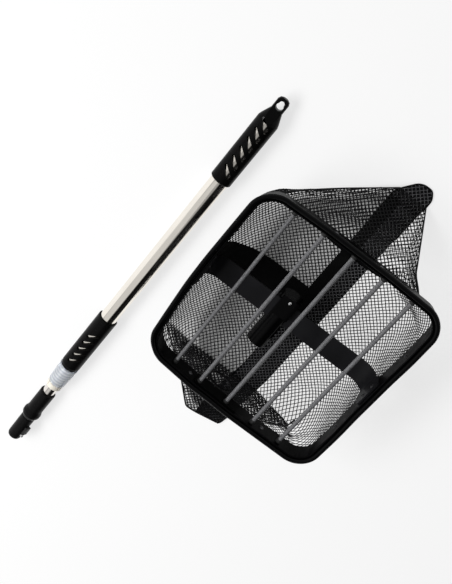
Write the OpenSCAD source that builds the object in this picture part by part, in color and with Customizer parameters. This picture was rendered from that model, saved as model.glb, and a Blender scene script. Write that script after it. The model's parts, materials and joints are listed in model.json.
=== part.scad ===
// Leaf skimmer net with a telescopic pole, shown apart: the net head lies on its bag and
// the pole lies beside it. Units are millimetres, Z is up and the floor is Z = 0.
// +Y runs along the guard rods, from the pole side of the net to its far side.

/* [Mouth frame] */
// Width of the mouth frame over its outer edges
frame_width = 278; // [200:2:400]
// Depth of the mouth frame over its outer edges, along the guard rods
frame_depth = 290; // [200:2:400]
// Radius of the frame's outer corners
frame_corner = 34; // [24:1:60]
// Height of the frame's top edge above the floor
mouth_height = 105; // [90:1:140]
// Height of the frame band below the top edge
band_height = 28; // [20:1:40]
// Radius of the rolled bead round the top edge
bead_radius = 3.3; // [2.5:0.1:5]
// Wall of the outer hoop below the bead
frame_wall = 2.2; // [1.6:0.1:3]
// Wall of the inner hoop
liner_wall = 2.2; // [1.6:0.1:3]
// Drop of the inner hoop's top edge below the bead's crown
liner_drop = 2.6; // [1.5:0.1:5]
// How far the bowed shelf on the far side stands in from the inner hoop
shelf_depth = 10; // [4:0.5:16]
// Half length of the bowed shelf
shelf_half = 85; // [50:1:110]
// Thickness of the bowed shelf
shelf_wall = 2; // [1.2:0.1:4]
// Depth of the shelf's top below the top edge
shelf_drop = 21; // [17:0.5:24]
// Width of the joint plate on the pole side
joint_plate_width = 70; // [40:1:90]
// Thickness of the joint plate
joint_plate_wall = 1.6; // [1:0.1:3]
// Clearance between pieces that are clamped together
clamp_gap = 0.1; // [0.05:0.01:0.2]

/* [Guard rods] */
// Distance of the two outer rods from the frame's outer sides
rod_inset = 51; // [44:0.5:60]
// Diameter of a guard rod
rod_diameter = 5.6; // [4:0.1:9]
// Diameter of a rod's pinned end
pin_diameter = 3; // [2:0.1:4]
// Diameter of the ferrule at a rod's end
ferrule_diameter = 7.6; // [7:0.1:10]
// Length of that ferrule
ferrule_length = 5; // [3:0.5:9]
// Depth of the rods' axes below the top edge
rod_drop = 12; // [9:0.5:15]

/* [Yoke] */
// Width of the flat yoke strap
yoke_width = 31; // [20:1:44]
// Thickness of the yoke strap
yoke_wall = 2.4; // [1.5:0.1:4]
// Depth of the strap's upper face below the top edge
yoke_drop = 50; // [42:1:58]
// Outer radius of the strap's bend at each side
yoke_bend = 22; // [12:1:26]
// Width of the foot at each end of the strap
foot_width = 44; // [32:1:60]
// Corner radius of that foot
foot_corner = 5; // [2:0.5:8]
// How far the foot stands above its rivets
foot_rise = 8; // [5:0.5:12]
// Spacing of the two rivets of a foot
foot_rivet_pitch = 18; // [12:1:26]

/* [Socket] */
// Offset of the socket's axis to the left of the frame's middle
socket_offset = 16; // [0:0.5:20]
// Depth of the socket's axis below the yoke strap's upper face
socket_drop = 8; // [6:0.5:10]
// Wall of the socket tube
socket_wall = 3; // [2:0.1:4]
// How far the socket reaches from the yoke's middle towards the pole
socket_reach = 58; // [50:1:80]
// How far its blind end reaches the other way
socket_back = 26; // [22:1:34]
// Thickness of the blind end
socket_end = 11; // [9:0.5:14]
// Width of the block that the socket's blind end is moulded in
hub_width = 24; // [16:1:26]
// Length of that block
hub_length = 30; // [20:1:40]
// Height of that block above the socket's axis
hub_height = 16; // [15.5:0.5:20]
// Spacing of the two screws under the socket
socket_screw_pitch = 16; // [10:1:22]

/* [Rivets] */
// Diameter of the rivets' shanks
rivet_diameter = 3; // [2:0.1:4]
// Diameter of the rivets' heads
rivet_head = 6; // [4.5:0.1:8]
// Height of the rivets' heads
rivet_dome = 1.3; // [0.8:0.1:2]
// Distance of the side rivets from the yoke's middle
side_rivet_at = 69; // [50:1:90]
// Distance of the end rivets from the middle, on the pole side
near_rivet_at = 60; // [50:1:66]
// Distance of the end rivets from the middle, on the far side
far_rivet_at = 33; // [30:1:40]

/* [Bag] */
// Thickness of the solid that stands for the netting
net_wall = 1.6; // [1.2:0.1:3]
// How far the bottom seam lies to the right of the frame's middle
bag_lean = 21; // [0:1:30]
// Width of the doubled band along the bottom seam
band_width = 42; // [20:1:60]
// How far the bottom seam reaches beyond the frame's middle, far side
seam_far = 230; // [190:1:250]
// How far it reaches on the pole side
seam_near = 230; // [190:1:240]
// Where the edges of the far ear meet the band, left and right
far_foot_left = 207; // [190:1:225]
far_foot_right = 214; // [190:1:225]
// Where the near wall of the bag meets the floor, at the left and in the middle
near_foot = 148; // [146:1:165]
// Where it meets the floor at the right
near_foot_right = 160; // [148:1:175]
// Left and right end of the flat ear's outer edge on the pole side
ear_left = -21; // [-60:1:0]
ear_right = 33; // [10:1:42]
// How far that edge reaches on the pole side, at its left end and at its right end
ear_far_left = 240; // [200:1:250]
ear_far_right = 231; // [200:1:250]
// Where the flat ear's left edge starts under the frame
ear_start = -98; // [-105:1:-60]
// Half width of the bag's part that lies on the floor
floor_half = 85; // [60:1:95]
// Half length of that part away from the seam
floor_length = 80; // [50:1:110]
// Half length of the sides' part that stands out round the yoke's bends
bulge_half = 60; // [40:1:80]
// How far that part lies in from the bag's top edge
bulge_inset = 8; // [4:0.5:12]
// Thickness of the bound hem in the frame
hem_wall = 1; // [0.6:0.1:1.6]
// Width of the tape inside the bag that runs to the left side
tape_width = 40; // [15:1:44]
// Width of the tape's arm along the band
tape_arm = 15; // [8:1:20]
// Thickness of that tape
tape_wall = 0.8; // [0.6:0.1:1.5]
// Offset of the tape from the yoke's middle where it meets the band
tape_at = 8; // [0:1:30]
// Slant of the tape's arm to the left side
tape_slant = 7.5; // [0:0.5:20]
// Clearance of the pole in the netting's port
port_gap = 2.5; // [1.5:0.5:6]
// Wall of the port's binding
port_wall = 2; // [1.5:0.1:4]

/* [Pole] */
// Diameter of the outer tube
outer_diameter = 25; // [20:0.5:32]
// Wall of the outer tube
outer_wall = 1; // [0.7:0.1:1.5]
// Diameter of the inner tube
inner_diameter = 19; // [14:0.5:22]
// Wall of the inner tube
inner_wall = 0.9; // [0.7:0.1:1.5]
// Whole length of the pole, pushed in
pole_length = 676; // [500:1:900]
// Distance of the guide bush from the outer tube's closed end, pushed in
bush_inset = 28; // [10:1:200]
// Running clearance of sliding and turning pieces, on the radius
running_gap = 0.08; // [0.02:0.01:0.1]
// Length of the guide bush on the inner tube's hidden end
bush_length = 25; // [15:1:40]
// Angle between the pole and the net's rods, as they lie
pole_turn = 2.4; // [0:0.05:5]

/* [Grips] */
// Wall of both hand grips
grip_wall = 2.2; // [1.5:0.1:4]
// Length of the lower grip
lower_grip_length = 106; // [80:1:140]
// Slots along the lower grip
lower_slots = 5; // [3:1:6]
// Spacing of the lower grip's slots
lower_slot_pitch = 13.2; // [12:0.2:16]
// Width of the lower grip's slots
lower_slot_width = 4; // [3:0.5:5]
// Length of the upper grip with its eye
upper_grip_length = 132; // [125:1:160]
// Length of its neck with the hanging eye
neck_length = 32; // [28:1:40]
// Slots along the upper grip
upper_slots = 6; // [3:1:6]
// Spacing of the upper grip's slots
upper_slot_pitch = 15; // [12:0.2:15]
// Width of the upper slots at their wide end
upper_slot_wide = 6.4; // [4:0.2:7]
// Width of the upper slots at their narrow end
upper_slot_narrow = 3.4; // [2:0.2:4]
// Length of a slot between the centres of its round ends
slot_length = 17; // [10:0.5:20]
// Angle of the slots to the pole's axis
slot_angle = 50; // [35:1:65]
// Width of the hanging eye
eye_width = 16.5; // [14:0.5:20]
// Thickness of the hanging eye
eye_thickness = 8; // [5:0.5:12]
// Width of the eye's hole at its wide end
eye_hole_wide = 9.6; // [6:0.2:11]
// Width of the eye's hole at its narrow end
eye_hole_narrow = 6.6; // [4:0.2:8]
// Distance between the centres of the hole's two ends
eye_hole_length = 4.4; // [2:0.2:6]

/* [Lock] */
// Length of the twist-lock collar
collar_length = 38; // [28:1:50]
// Wall of the collar at its wide end
collar_wall = 1.75; // [1.5:0.05:3]
// Width of the collar's raised rim
collar_rim = 2.6; // [1.5:0.1:4]
// How much the collar narrows towards the inner tube, on the radius
collar_taper = 1.3; // [0.5:0.1:2]
// Length of the pale ring that shows below the collar
ring_length = 9; // [5:0.5:14]
// Slits in the split ring
ring_slits = 4; // [3:1:6]

/* [Connector] */
// Diameter of the plug
plug_diameter = 22; // [20:0.2:23]
// Clearance of the plug in the socket, on the radius
plug_gap = 0.1; // [0.05:0.01:0.1]
// Length of the plug from its tip to the flare
plug_length = 50; // [44:1:60]
// How much the plug narrows towards its tip, on the radius, past its full part
plug_draft = 0.2; // [0.1:0.05:0.4]
// Wall of the plug
plug_wall = 2.6; // [2:0.1:4]
// Diameter of the flared ring
flare_diameter = 28.4; // [26:0.2:30]
// Diameter of the sleeve over the inner tube
sleeve_diameter = 24.4; // [23:0.2:27]
// Length of the sleeve with its flare
sleeve_length = 58; // [45:1:70]
// Distance of the snap button from the plug's tip
button_at = 12; // [9:0.5:16]
// Diameter of the snap button
button_diameter = 6; // [4:0.2:7]
// How far the snap button stands out of the plug
button_proud = 4; // [2:0.1:5]
// Length of the thumb tab beside it
tab_length = 15; // [10:0.5:16]
// Width of the thumb tab
tab_width = 8; // [6:0.2:9]
// How far the tab's top lies below the button's
tab_drop = 0.4; // [0.2:0.1:2]
// How far the button and its tab press in
button_stroke = 4.5; // [2:0.1:5]
// Clearance round the button and its tab
button_gap = 0.3; // [0.2:0.05:0.6]
// Angle of the button above the horizontal
button_angle = 25; // [0:5:60]

/* [Layout] */
// How far to the left of the net's middle the plug's tip lies
pole_left = 202; // [185:1:300]
// How far the plug's tip lies from the net's middle, towards the pole side
pole_front = 465; // [300:1:600]

/* [Hidden] */
eps = 0.01;

// Frame, as distances in from the outer edge
half_w = frame_width / 2;
half_d = frame_depth / 2;
rod_pitch = (frame_width - 2 * rod_inset) / 4;
wall_in = 2 * bead_radius;
hem_out = wall_in + clamp_gap;
hem_in = hem_out + hem_wall;
liner_out = hem_in + clamp_gap;
liner_in = liner_out + liner_wall;
band_bottom = mouth_height - band_height;
hem_bottom = band_bottom - 3;
rivet_z = mouth_height - band_height * 0.6;
rod_z = mouth_height - rod_drop;
rod_end = half_d - liner_in - clamp_gap - ferrule_length - clamp_gap;
corner_x = half_w - frame_corner;
corner_y = half_d - frame_corner;

// Yoke and socket
strap_top = mouth_height - yoke_drop;
foot_x = half_w - liner_in - clamp_gap;
foot_top = rivet_z + foot_rise;
socket_x = -socket_offset;
socket_z = strap_top - socket_drop;
socket_bore = plug_diameter / 2 + plug_gap;
socket_radius = socket_bore + socket_wall;
cradle_in = socket_radius + clamp_gap;
cradle_out = cradle_in + yoke_wall;
hub_rivet_y = socket_back - socket_end / 2;

// Bag
bag_top = hem_bottom - clamp_gap;
bag_out = hem_out;
bag_x = half_w - bag_out;
bag_y = half_d - bag_out;
bag_corner = frame_corner - bag_out;
seam_left = bag_lean - band_width / 2;
seam_right = bag_lean + band_width / 2;
end_half = half_w - frame_corner;
near_lean = atan((near_foot - bag_y) / bag_top);
near_wall_y = bag_y + (near_foot - bag_y) * (bag_top - socket_z) / bag_top - net_wall / 2;

// Pole, measured from the tip of the plug
outer_r = outer_diameter / 2;
outer_bore = outer_r - outer_wall;
inner_r = inner_diameter / 2;
grip_r = outer_r + clamp_gap / 2 + grip_wall;
grip_bore = outer_r + clamp_gap / 2;
sleeve_end = plug_length + sleeve_length;
ring_start = sleeve_end + 16;
collar_start = ring_start + ring_length;
collar_end = collar_start + collar_length;
lower_start = collar_end + 0.4;
lower_end = lower_start + lower_grip_length;
upper_start = pole_length - upper_grip_length;
tube_start = collar_start + 16;
neck_start = pole_length - neck_length;
tube_stop = neck_start - 4;
collet_stop = collar_end;
bush_stop = tube_stop - bush_inset;
bush_start = bush_stop - bush_length;
// How far the inner tube draws out before its bush meets the split ring
draw_length = bush_start - collet_stop - 6;
plug_r = plug_diameter / 2;
spigot_length = 10;
button_r = button_diameter / 2;
tab_start = button_at + button_r + 2;
tab_stop = tab_start + tab_length;
full_start = tab_stop + 1;

// Places of the two items on the floor
head_x = 37.42;
head_y = 117.68;
pole_x = head_x - pole_left;
pole_y = head_y - pole_front;
pole_z = max(grip_r, outer_r + running_gap + collar_wall + 0.4);

module place_head() {
    translate([head_x, head_y, 0]) children();
}

// The pole is drawn along Z from the tip of its plug and laid down along Y
module place_pole() {
    translate([pole_x, pole_y, pole_z]) rotate([0, 0, -pole_turn]) rotate([-90, 0, 0]) children();
}

// Sweeps a profile round the mouth: its x is the distance in from the outer edge
module round_mouth() {
    for (sx = [0, 1], sy = [0, 1]) mirror([sx, 0, 0]) mirror([0, sy, 0])
        translate([corner_x, corner_y, 0]) rotate_extrude(angle = 90, $fn = 64)
            translate([frame_corner, 0]) mirror([1, 0]) children();
    for (sy = [0, 1]) mirror([0, sy, 0])
        translate([-corner_x, half_d, 0]) rotate([90, 0, 90])
            linear_extrude(2 * corner_x) mirror([1, 0]) children();
    for (sx = [0, 1]) mirror([sx, 0, 0])
        translate([half_w, corner_y, 0]) rotate([90, 0, 0])
            linear_extrude(2 * corner_y) mirror([1, 0]) children();
}

module at_side_rivets() {
    for (sx = [0, 1], sy = [-1, 1]) mirror([sx, 0, 0])
        translate([half_w, sy * side_rivet_at, rivet_z]) rotate([0, -90, 0]) children();
}

module at_end_rivets() {
    for (sx = [-1, 1]) {
        translate([sx * near_rivet_at, -half_d, rivet_z]) rotate([-90, 0, 0]) children();
        translate([sx * far_rivet_at, half_d, rivet_z]) rotate([90, 0, 0]) children();
    }
}

module at_foot_rivets() {
    for (sx = [0, 1], sy = [-1, 1]) mirror([sx, 0, 0])
        translate([half_w, sy * foot_rivet_pitch / 2, rivet_z]) rotate([0, -90, 0]) children();
}

module dome(radius, height) {
    ball = (radius * radius + height * height) / (2 * height);
    intersection() {
        translate([0, 0, height - ball]) sphere(ball, $fn = 48);
        cylinder(height + 1, r = radius, $fn = 32);
    }
}

// A rivet from the outer hoop's face to an inner face, drawn along +Z going inwards
module rivet(inner) {
    outer = wall_in - frame_wall;
    translate([0, 0, outer]) cylinder(inner - outer, d = rivet_diameter, $fn = 32);
    translate([0, 0, inner]) dome(rivet_head / 2, rivet_dome);
    translate([0, 0, outer]) mirror([0, 0, 1]) dome(rivet_head / 2, rivet_dome);
}

module rivet_hole(from, to) {
    translate([0, 0, from]) cylinder(to - from, d = rivet_diameter + 2 * clamp_gap, $fn = 32);
}

module rivet_holes() {
    at_side_rivets() rivet_hole(0, liner_in + 6);
    at_end_rivets() rivet_hole(0, liner_in + 6);
    at_foot_rivets() rivet_hole(0, liner_in + 4 * yoke_wall);
}

module at_rods() {
    for (i = [-2 : 2]) translate([i * rod_pitch, 0, rod_z]) rotate([90, 0, 0]) children();
}

module rim_frame() color([0.05, 0.05, 0.05]) place_head() difference() {
    round_mouth() {
        union() {
            translate([bead_radius, mouth_height - bead_radius]) circle(bead_radius, $fn = 32);
            translate([wall_in - frame_wall, band_bottom + 2])
                square([frame_wall, band_height - 2 - bead_radius]);
        }
    }
    rivet_holes();
}

module rim_liner() color([0.07, 0.07, 0.07]) place_head() difference() {
    union() {
        round_mouth() {
            union() {
                translate([liner_out, band_bottom])
                    square([liner_wall, band_height - liner_drop - liner_wall / 2]);
                translate([liner_out + liner_wall / 2, mouth_height - liner_drop - liner_wall / 2])
                    circle(d = liner_wall, $fn = 24);
            }
        }
        shelf();
    }
    rivet_holes();
    at_rods() cylinder(frame_depth, d = pin_diameter + 2 * clamp_gap, center = true, $fn = 32);
}

// The bowed shelf inside the far side
module shelf() {
    face = half_d - liner_in;
    bow = (shelf_half * shelf_half + shelf_depth * shelf_depth) / (2 * shelf_depth);
    translate([0, 0, mouth_height - shelf_drop - shelf_wall]) linear_extrude(shelf_wall)
        intersection() {
            translate([0, face - shelf_depth + bow]) circle(bow, $fn = 360);
            translate([-shelf_half, face - shelf_depth])
                square([2 * shelf_half, shelf_depth + liner_wall / 2]);
        }
}

module net_hem() color([0.04, 0.04, 0.04]) place_head() difference() {
    round_mouth() {
        translate([hem_out, hem_bottom]) square([hem_wall, band_height - 5]);
    }
    rivet_holes();
}

module rim_rivets() color([0.25, 0.25, 0.25]) place_head() {
    at_side_rivets() rivet(liner_in);
    at_end_rivets() rivet(liner_in);
}

module rim_joint_plate() color([0.02, 0.02, 0.02]) place_head() {
    height = band_height - liner_drop - 5;
    translate([socket_x, -half_d + liner_in + clamp_gap + joint_plate_wall, band_bottom + 1])
        rotate([90, 0, 0]) linear_extrude(joint_plate_wall) difference() {
            round_box(joint_plate_width, height, 3);
            for (i = [-2 : 2])
                translate([i * rod_pitch - socket_x, rod_z - band_bottom - 1])
                    circle(d = ferrule_diameter + 4 * clamp_gap, $fn = 48);
        }
}

// A flat rectangle with round corners, its lower edge on the x axis
module round_box(width, height, radius) {
    translate([-width / 2 + radius, 0]) square([width - 2 * radius, height]);
    translate([-width / 2, radius]) square([width, height - 2 * radius]);
    for (x = [-width / 2 + radius, width / 2 - radius], y = [radius, height - radius])
        translate([x, y]) circle(radius, $fn = 32);
}

module guard_rod(i) color([0.45, 0.45, 0.45]) place_head() {
    translate([(i - 3) * rod_pitch, 0, rod_z]) rotate([90, 0, 0]) {
        cylinder(2 * rod_end, d = rod_diameter, center = true, $fn = 32);
        cylinder(2 * (half_d - liner_out), d = pin_diameter, center = true, $fn = 32);
    }
}

module rod_end_caps() color([0.1, 0.1, 0.1]) place_head() {
    at_rods() for (s = [0, 1]) mirror([0, 0, s])
        translate([0, 0, rod_end + clamp_gap]) difference() {
            cylinder(ferrule_length, d = ferrule_diameter, $fn = 40);
            translate([0, 0, -1])
                cylinder(ferrule_length + 2, d = pin_diameter + clamp_gap, $fn = 32);
        }
}

module yoke_strap() color([0.14, 0.14, 0.14]) place_head() difference() {
    union() {
        translate([0, yoke_width / 2, 0]) rotate([90, 0, 0]) linear_extrude(yoke_width)
            yoke_line();
        for (sx = [0, 1]) mirror([sx, 0, 0])
            translate([foot_x - yoke_wall, 0, strap_top - yoke_wall + yoke_bend])
                rotate([90, 0, 90]) linear_extrude(yoke_wall)
                    round_box(foot_width, foot_top - strap_top + yoke_wall - yoke_bend, foot_corner);
    }
    at_foot_rivets() rivet_hole(liner_in, liner_in + 4 * yoke_wall);
    translate([socket_x, 0, socket_z]) at_socket_screws() translate([0, 0, -yoke_wall - 2])
        cylinder(yoke_wall + 4, d = rivet_diameter, $fn = 32);
}

// The strap seen from the side: a flat with a cradle under the socket and a bend at each end
module yoke_line() {
    flat = foot_x - yoke_bend;
    difference() {
        translate([-flat, strap_top - yoke_wall]) square([2 * flat, yoke_wall]);
        translate([socket_x, socket_z]) circle(cradle_in, $fn = 96);
    }
    difference() {
        translate([socket_x, socket_z]) circle(cradle_out, $fn = 96);
        translate([socket_x, socket_z]) circle(cradle_in, $fn = 96);
        translate([socket_x - 2 * cradle_out, strap_top]) square(4 * cradle_out);
    }
    for (sx = [0, 1]) mirror([sx, 0]) {
        translate([flat, strap_top - yoke_wall + yoke_bend]) difference() {
            circle(yoke_bend, $fn = 96);
            circle(yoke_bend - yoke_wall, $fn = 96);
            translate([-2 * yoke_bend, -2 * yoke_bend]) square([2 * yoke_bend, 4 * yoke_bend]);
            translate([-2 * yoke_bend, 0]) square(4 * yoke_bend);
        }
    }
}

module yoke_rivets() color([0.25, 0.25, 0.25]) place_head() {
    at_foot_rivets() rivet(liner_in + clamp_gap + yoke_wall);
}

// The socket is drawn along Y, its mouth towards the pole
module pole_socket() color([0.03, 0.03, 0.03]) place_head() translate([socket_x, 0, socket_z]) {
    difference() {
        union() {
            translate([0, socket_back, 0]) rotate([90, 0, 0])
                cylinder(socket_back + socket_reach, r = socket_radius, $fn = 64);
            translate([-hub_width / 2, socket_back - hub_length, 0])
                cube([hub_width, hub_length, hub_height]);
        }
        translate([0, socket_back - socket_end, 0]) rotate([90, 0, 0])
            cylinder(socket_back + socket_reach, r = socket_bore, $fn = 64);
        // The long hole that the snap button and its tab come out of
        rotate([0, -button_angle, 0]) socket_slot();
        translate([0, hub_rivet_y, 0]) cylinder(hub_height + 1, d = rivet_diameter, $fn = 32);
        at_socket_screws() cylinder(socket_wall + 3, d = rivet_diameter, center = true, $fn = 32);
    }
}

module socket_slot() {
    first = -socket_reach + plug_length - tab_stop - 2 * button_gap;
    last = -socket_reach + plug_length - button_at + button_r + 2 * button_gap;
    slot = tab_width + 4 * button_gap;
    translate([0, 0, -slot / 2]) linear_extrude(slot) translate([socket_bore - 2, first])
        square([socket_wall + 4, last - first]);
}

module at_socket_screws() {
    for (sy = [-1, 1]) translate([0, sy * socket_screw_pitch / 2, -socket_radius]) children();
}

module socket_rivet() color([0.8, 0.8, 0.8]) place_head()
    translate([socket_x, hub_rivet_y, socket_z + clamp_gap]) {
        cylinder(hub_height, d = rivet_diameter - 2 * clamp_gap, $fn = 32);
        translate([0, 0, hub_height]) dome(rivet_head / 2 - 0.6, rivet_dome + 0.2);
    }

// Two screws from below, through the yoke's cradle into the socket's wall
module socket_screws() color([0.3, 0.3, 0.3]) place_head() translate([socket_x, 0, socket_z])
    at_socket_screws() {
        translate([0, 0, -clamp_gap - yoke_wall])
            cylinder(yoke_wall + clamp_gap + 1.4, d = rivet_diameter - 2 * clamp_gap, $fn = 32);
        translate([0, 0, -clamp_gap - yoke_wall]) mirror([0, 0, 1]) dome(rivet_head / 2, rivet_dome);
    }

// The two halves of the bag's form: an outline at the hem and the part on the floor.
// The inner form (deep = 1) is smaller by the wall and runs out of the top and the seam.
module top_corner(x, y, deep) {
    translate([x, y, bag_top - 1]) cylinder(1 + deep * eps, r = bag_corner - deep * net_wall, $fn = 32);
}

// The sides stand out round the yoke's bends
module side_bulge(side, deep, wall) {
    low = bag_x - bulge_inset - deep * wall * 1.3;
    translate([side * (low - 0.5) - 0.5, -bulge_half, strap_top - 6]) cube([1, 2 * bulge_half, 1]);
}

module left_form(deep, wall) {
    side = bag_x - bag_corner - deep * wall * 0.3;
    end = bag_y - bag_corner - deep * wall;
    open = seam_right + deep;
    hull() {
        top_corner(-side, end, deep);
        top_corner(-side, -end, deep);
        side_bulge(-1, deep, wall);
        translate([open - 1, -bag_y + 1.2 * deep * wall, bag_top - 1])
            cube([1, 2 * bag_y - 3.2 * deep * wall, 1 + deep * eps]);
        translate([0, 0, deep * wall]) linear_extrude(0.6) polygon([
            [seam_left + deep * wall, far_foot_left - 3 * deep * wall],
            [open, far_foot_left - 3 * deep * wall],
            [open, -near_foot + 1.3 * deep * wall],
            [bag_lean - floor_half + 2 * deep * wall, -near_foot + 1.3 * deep * wall],
            [bag_lean - floor_half + 2 * deep * wall, floor_length]]);
    }
}

module right_form(deep, wall) {
    side = bag_x - bag_corner - deep * wall * 0.2;
    end = bag_y - bag_corner - deep * wall;
    open = seam_right - deep;
    hull() {
        top_corner(side, end, deep);
        top_corner(side, -end, deep);
        side_bulge(1, deep, wall);
        translate([open, -bag_y + 1.2 * deep * wall, bag_top - 1])
            cube([1, 2 * bag_y - 3.2 * deep * wall, 1 + deep * eps]);
        translate([0, 0, deep * wall]) linear_extrude(0.6) polygon([
            [open, far_foot_right - 3 * deep * wall], [open, -near_foot + 1.3 * deep * wall],
            [bag_lean + floor_half - 2 * deep * wall, -near_foot_right + 1.3 * deep * wall],
            [bag_lean + floor_half - 2 * deep * wall, floor_length]]);
    }
}

module left_shell() difference() {
    left_form(0, 0);
    left_form(1, net_wall);
}

module right_shell() difference() {
    right_form(0, 0);
    right_form(1, net_wall);
}

// Plan areas of the two end panels, between the frame's corners and the seam's ends
module far_area() {
    translate([0, 0, -1]) linear_extrude(bag_top + 4) polygon([
        [-end_half, bag_y - 12], [end_half, bag_y - 12],
        [seam_right, seam_far + 5], [seam_left, seam_far + 5]]);
}

module near_area() {
    translate([-end_half, -near_foot_right - 5, -1])
        cube([2 * end_half, near_foot_right + 5 - bag_y + 12, bag_top + 4]);
}

module band_area(extra) {
    translate([seam_left - extra, -seam_near - 5, -1])
        cube([band_width + 2 * extra, seam_near + seam_far + 10, 1 + net_wall + clamp_gap]);
}

module port_cut(radius) {
    translate([socket_x, -near_wall_y, socket_z]) rotate([90 - near_lean, 0, 0])
        cylinder(6 * net_wall, r = radius, center = true, $fn = 64);
}

module net_left_panel() color([0.12, 0.12, 0.12]) place_head() difference() {
    left_shell();
    far_area();
    near_area();
    band_area(0.2);
}

module net_right_panel() color([0.12, 0.12, 0.12]) place_head() difference() {
    right_shell();
    far_area();
    near_area();
    band_area(0.2);
}

module net_far_end() color([0.12, 0.12, 0.12]) place_head() difference() {
    intersection() {
        union() {
            left_shell();
            right_shell();
        }
        far_area();
    }
    band_area(0.2);
}

module net_near_end() color([0.12, 0.12, 0.12]) place_head() difference() {
    union() {
        intersection() {
            union() {
                left_shell();
                right_shell();
            }
            near_area();
        }
        // The ear that lies flat on the floor, two layers of netting thick
        linear_extrude(2 * net_wall) polygon([
            [ear_start, -near_foot + net_wall], [ear_left, -ear_far_left],
            [ear_right, -ear_far_right], [ear_right + 3, -near_foot + net_wall]]);
    }
    band_area(0.2);
    port_cut(grip_r + port_gap + port_wall + clamp_gap);
}

module net_centre_band() color([0.03, 0.03, 0.03]) place_head() {
    corner = 9;
    linear_extrude(net_wall) {
        translate([seam_left, -seam_near]) square([band_width, seam_near + seam_far - corner]);
        translate([seam_left + corner, 0]) square([band_width - 2 * corner, seam_far]);
        for (x = [seam_left + corner, seam_right - corner])
            translate([x, seam_far - corner]) circle(corner, $fn = 48);
    }
}

// Tape inside the bag: across to the left side, and along the band to the far end
module net_inner_strap() color([0.01, 0.01, 0.01]) place_head() {
    intersection() {
        difference() {
            left_form(1, net_wall + 0.1);
            left_form(1, net_wall + 0.1 + tape_wall);
        }
        tape_slab(seam_left - 0.2);
    }
    translate([0, 0, net_wall + 0.1]) linear_extrude(tape_wall) {
        translate([seam_left, tape_at]) square([tape_arm, far_foot_left - tape_at - 14]);
        translate([seam_left - 0.4, tape_at]) rotate(-tape_slant)
            translate([0, -tape_width / 2]) square([tape_arm + 0.4, tape_width]);
    }
}

// The slanted slice that the tape's arm takes out of the bag's left half
module tape_slab(right) {
    intersection() {
        translate([right, tape_at, 1]) rotate([0, 0, -tape_slant])
            translate([-frame_width, -tape_width / 2, 0]) cube([frame_width + 5, tape_width, bag_top]);
        translate([right - frame_width, -frame_depth, 0])
            cube([frame_width, 2 * frame_depth, bag_top - 1]);
    }
}

// Binding round the pole's port, a little thicker than the wall that it is sewn to
module net_port_binding() color([0.02, 0.02, 0.02]) place_head()
    translate([socket_x, -near_wall_y, socket_z]) rotate([90 - near_lean, 0, 0]) difference() {
        cylinder(net_wall + 1, r = grip_r + port_gap + port_wall, center = true, $fn = 64);
        cylinder(net_wall + 2, r = grip_r + port_gap, center = true, $fn = 64);
    }

module tube(from, to, outside, inside) {
    difference() {
        translate([0, 0, from]) cylinder(to - from, r = outside, $fn = 96);
        translate([0, 0, from - 1]) cylinder(to - from + 2, r = inside, $fn = 96);
    }
}

module outer_tube() color([0.8, 0.78, 0.74]) place_pole()
    tube(tube_start, tube_stop, outer_r, outer_bore);

module inner_tube() color([0.75, 0.73, 0.7]) place_pole()
    tube(plug_length + spigot_length + 0.5, bush_start + bush_length - 4, inner_r, inner_r - inner_wall);

module inner_bush() color([0.1, 0.1, 0.1]) place_pole() {
    tube(bush_start, bush_stop, outer_bore - running_gap, inner_r + clamp_gap / 2);
    translate([0, 0, bush_stop - 3.5]) cylinder(3.5, r = outer_bore - running_gap, $fn = 96);
}

// A slot outline, round at both ends, wider at one end if asked
module slot_shape(wide, narrow, length) {
    w = wide / 2 - 0.04;
    n = narrow / 2 - 0.04;
    translate([0, -length / 2]) circle(d = wide, $fn = 32);
    translate([0, length / 2]) circle(d = narrow, $fn = 32);
    polygon([[-w, -length / 2], [w, -length / 2], [n, length / 2], [-n, length / 2]]);
}

// A row of slanted slots through the upper and the lower face of a grip
module slots(first, count, pitch, wide, narrow, lean) {
    for (i = [0 : count - 1])
        translate([0, grip_r + 2, first + i * pitch]) rotate([90, 0, 0])
            linear_extrude(2 * grip_r + 4) rotate(lean) slot_shape(wide, narrow, slot_length);
}

module lower_grip() color([0.04, 0.04, 0.04]) place_pole() difference() {
    rotate_extrude($fn = 96) polygon([
        [grip_bore, lower_start], [grip_r - 1.2, lower_start], [grip_r, lower_start + 5],
        [grip_r, lower_end - 0.6], [grip_r - 0.6, lower_end], [grip_bore, lower_end]]);
    slots(lower_start + 21, lower_slots, lower_slot_pitch, lower_slot_width, lower_slot_width - 0.4,
        -slot_angle - 2);
}

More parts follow.
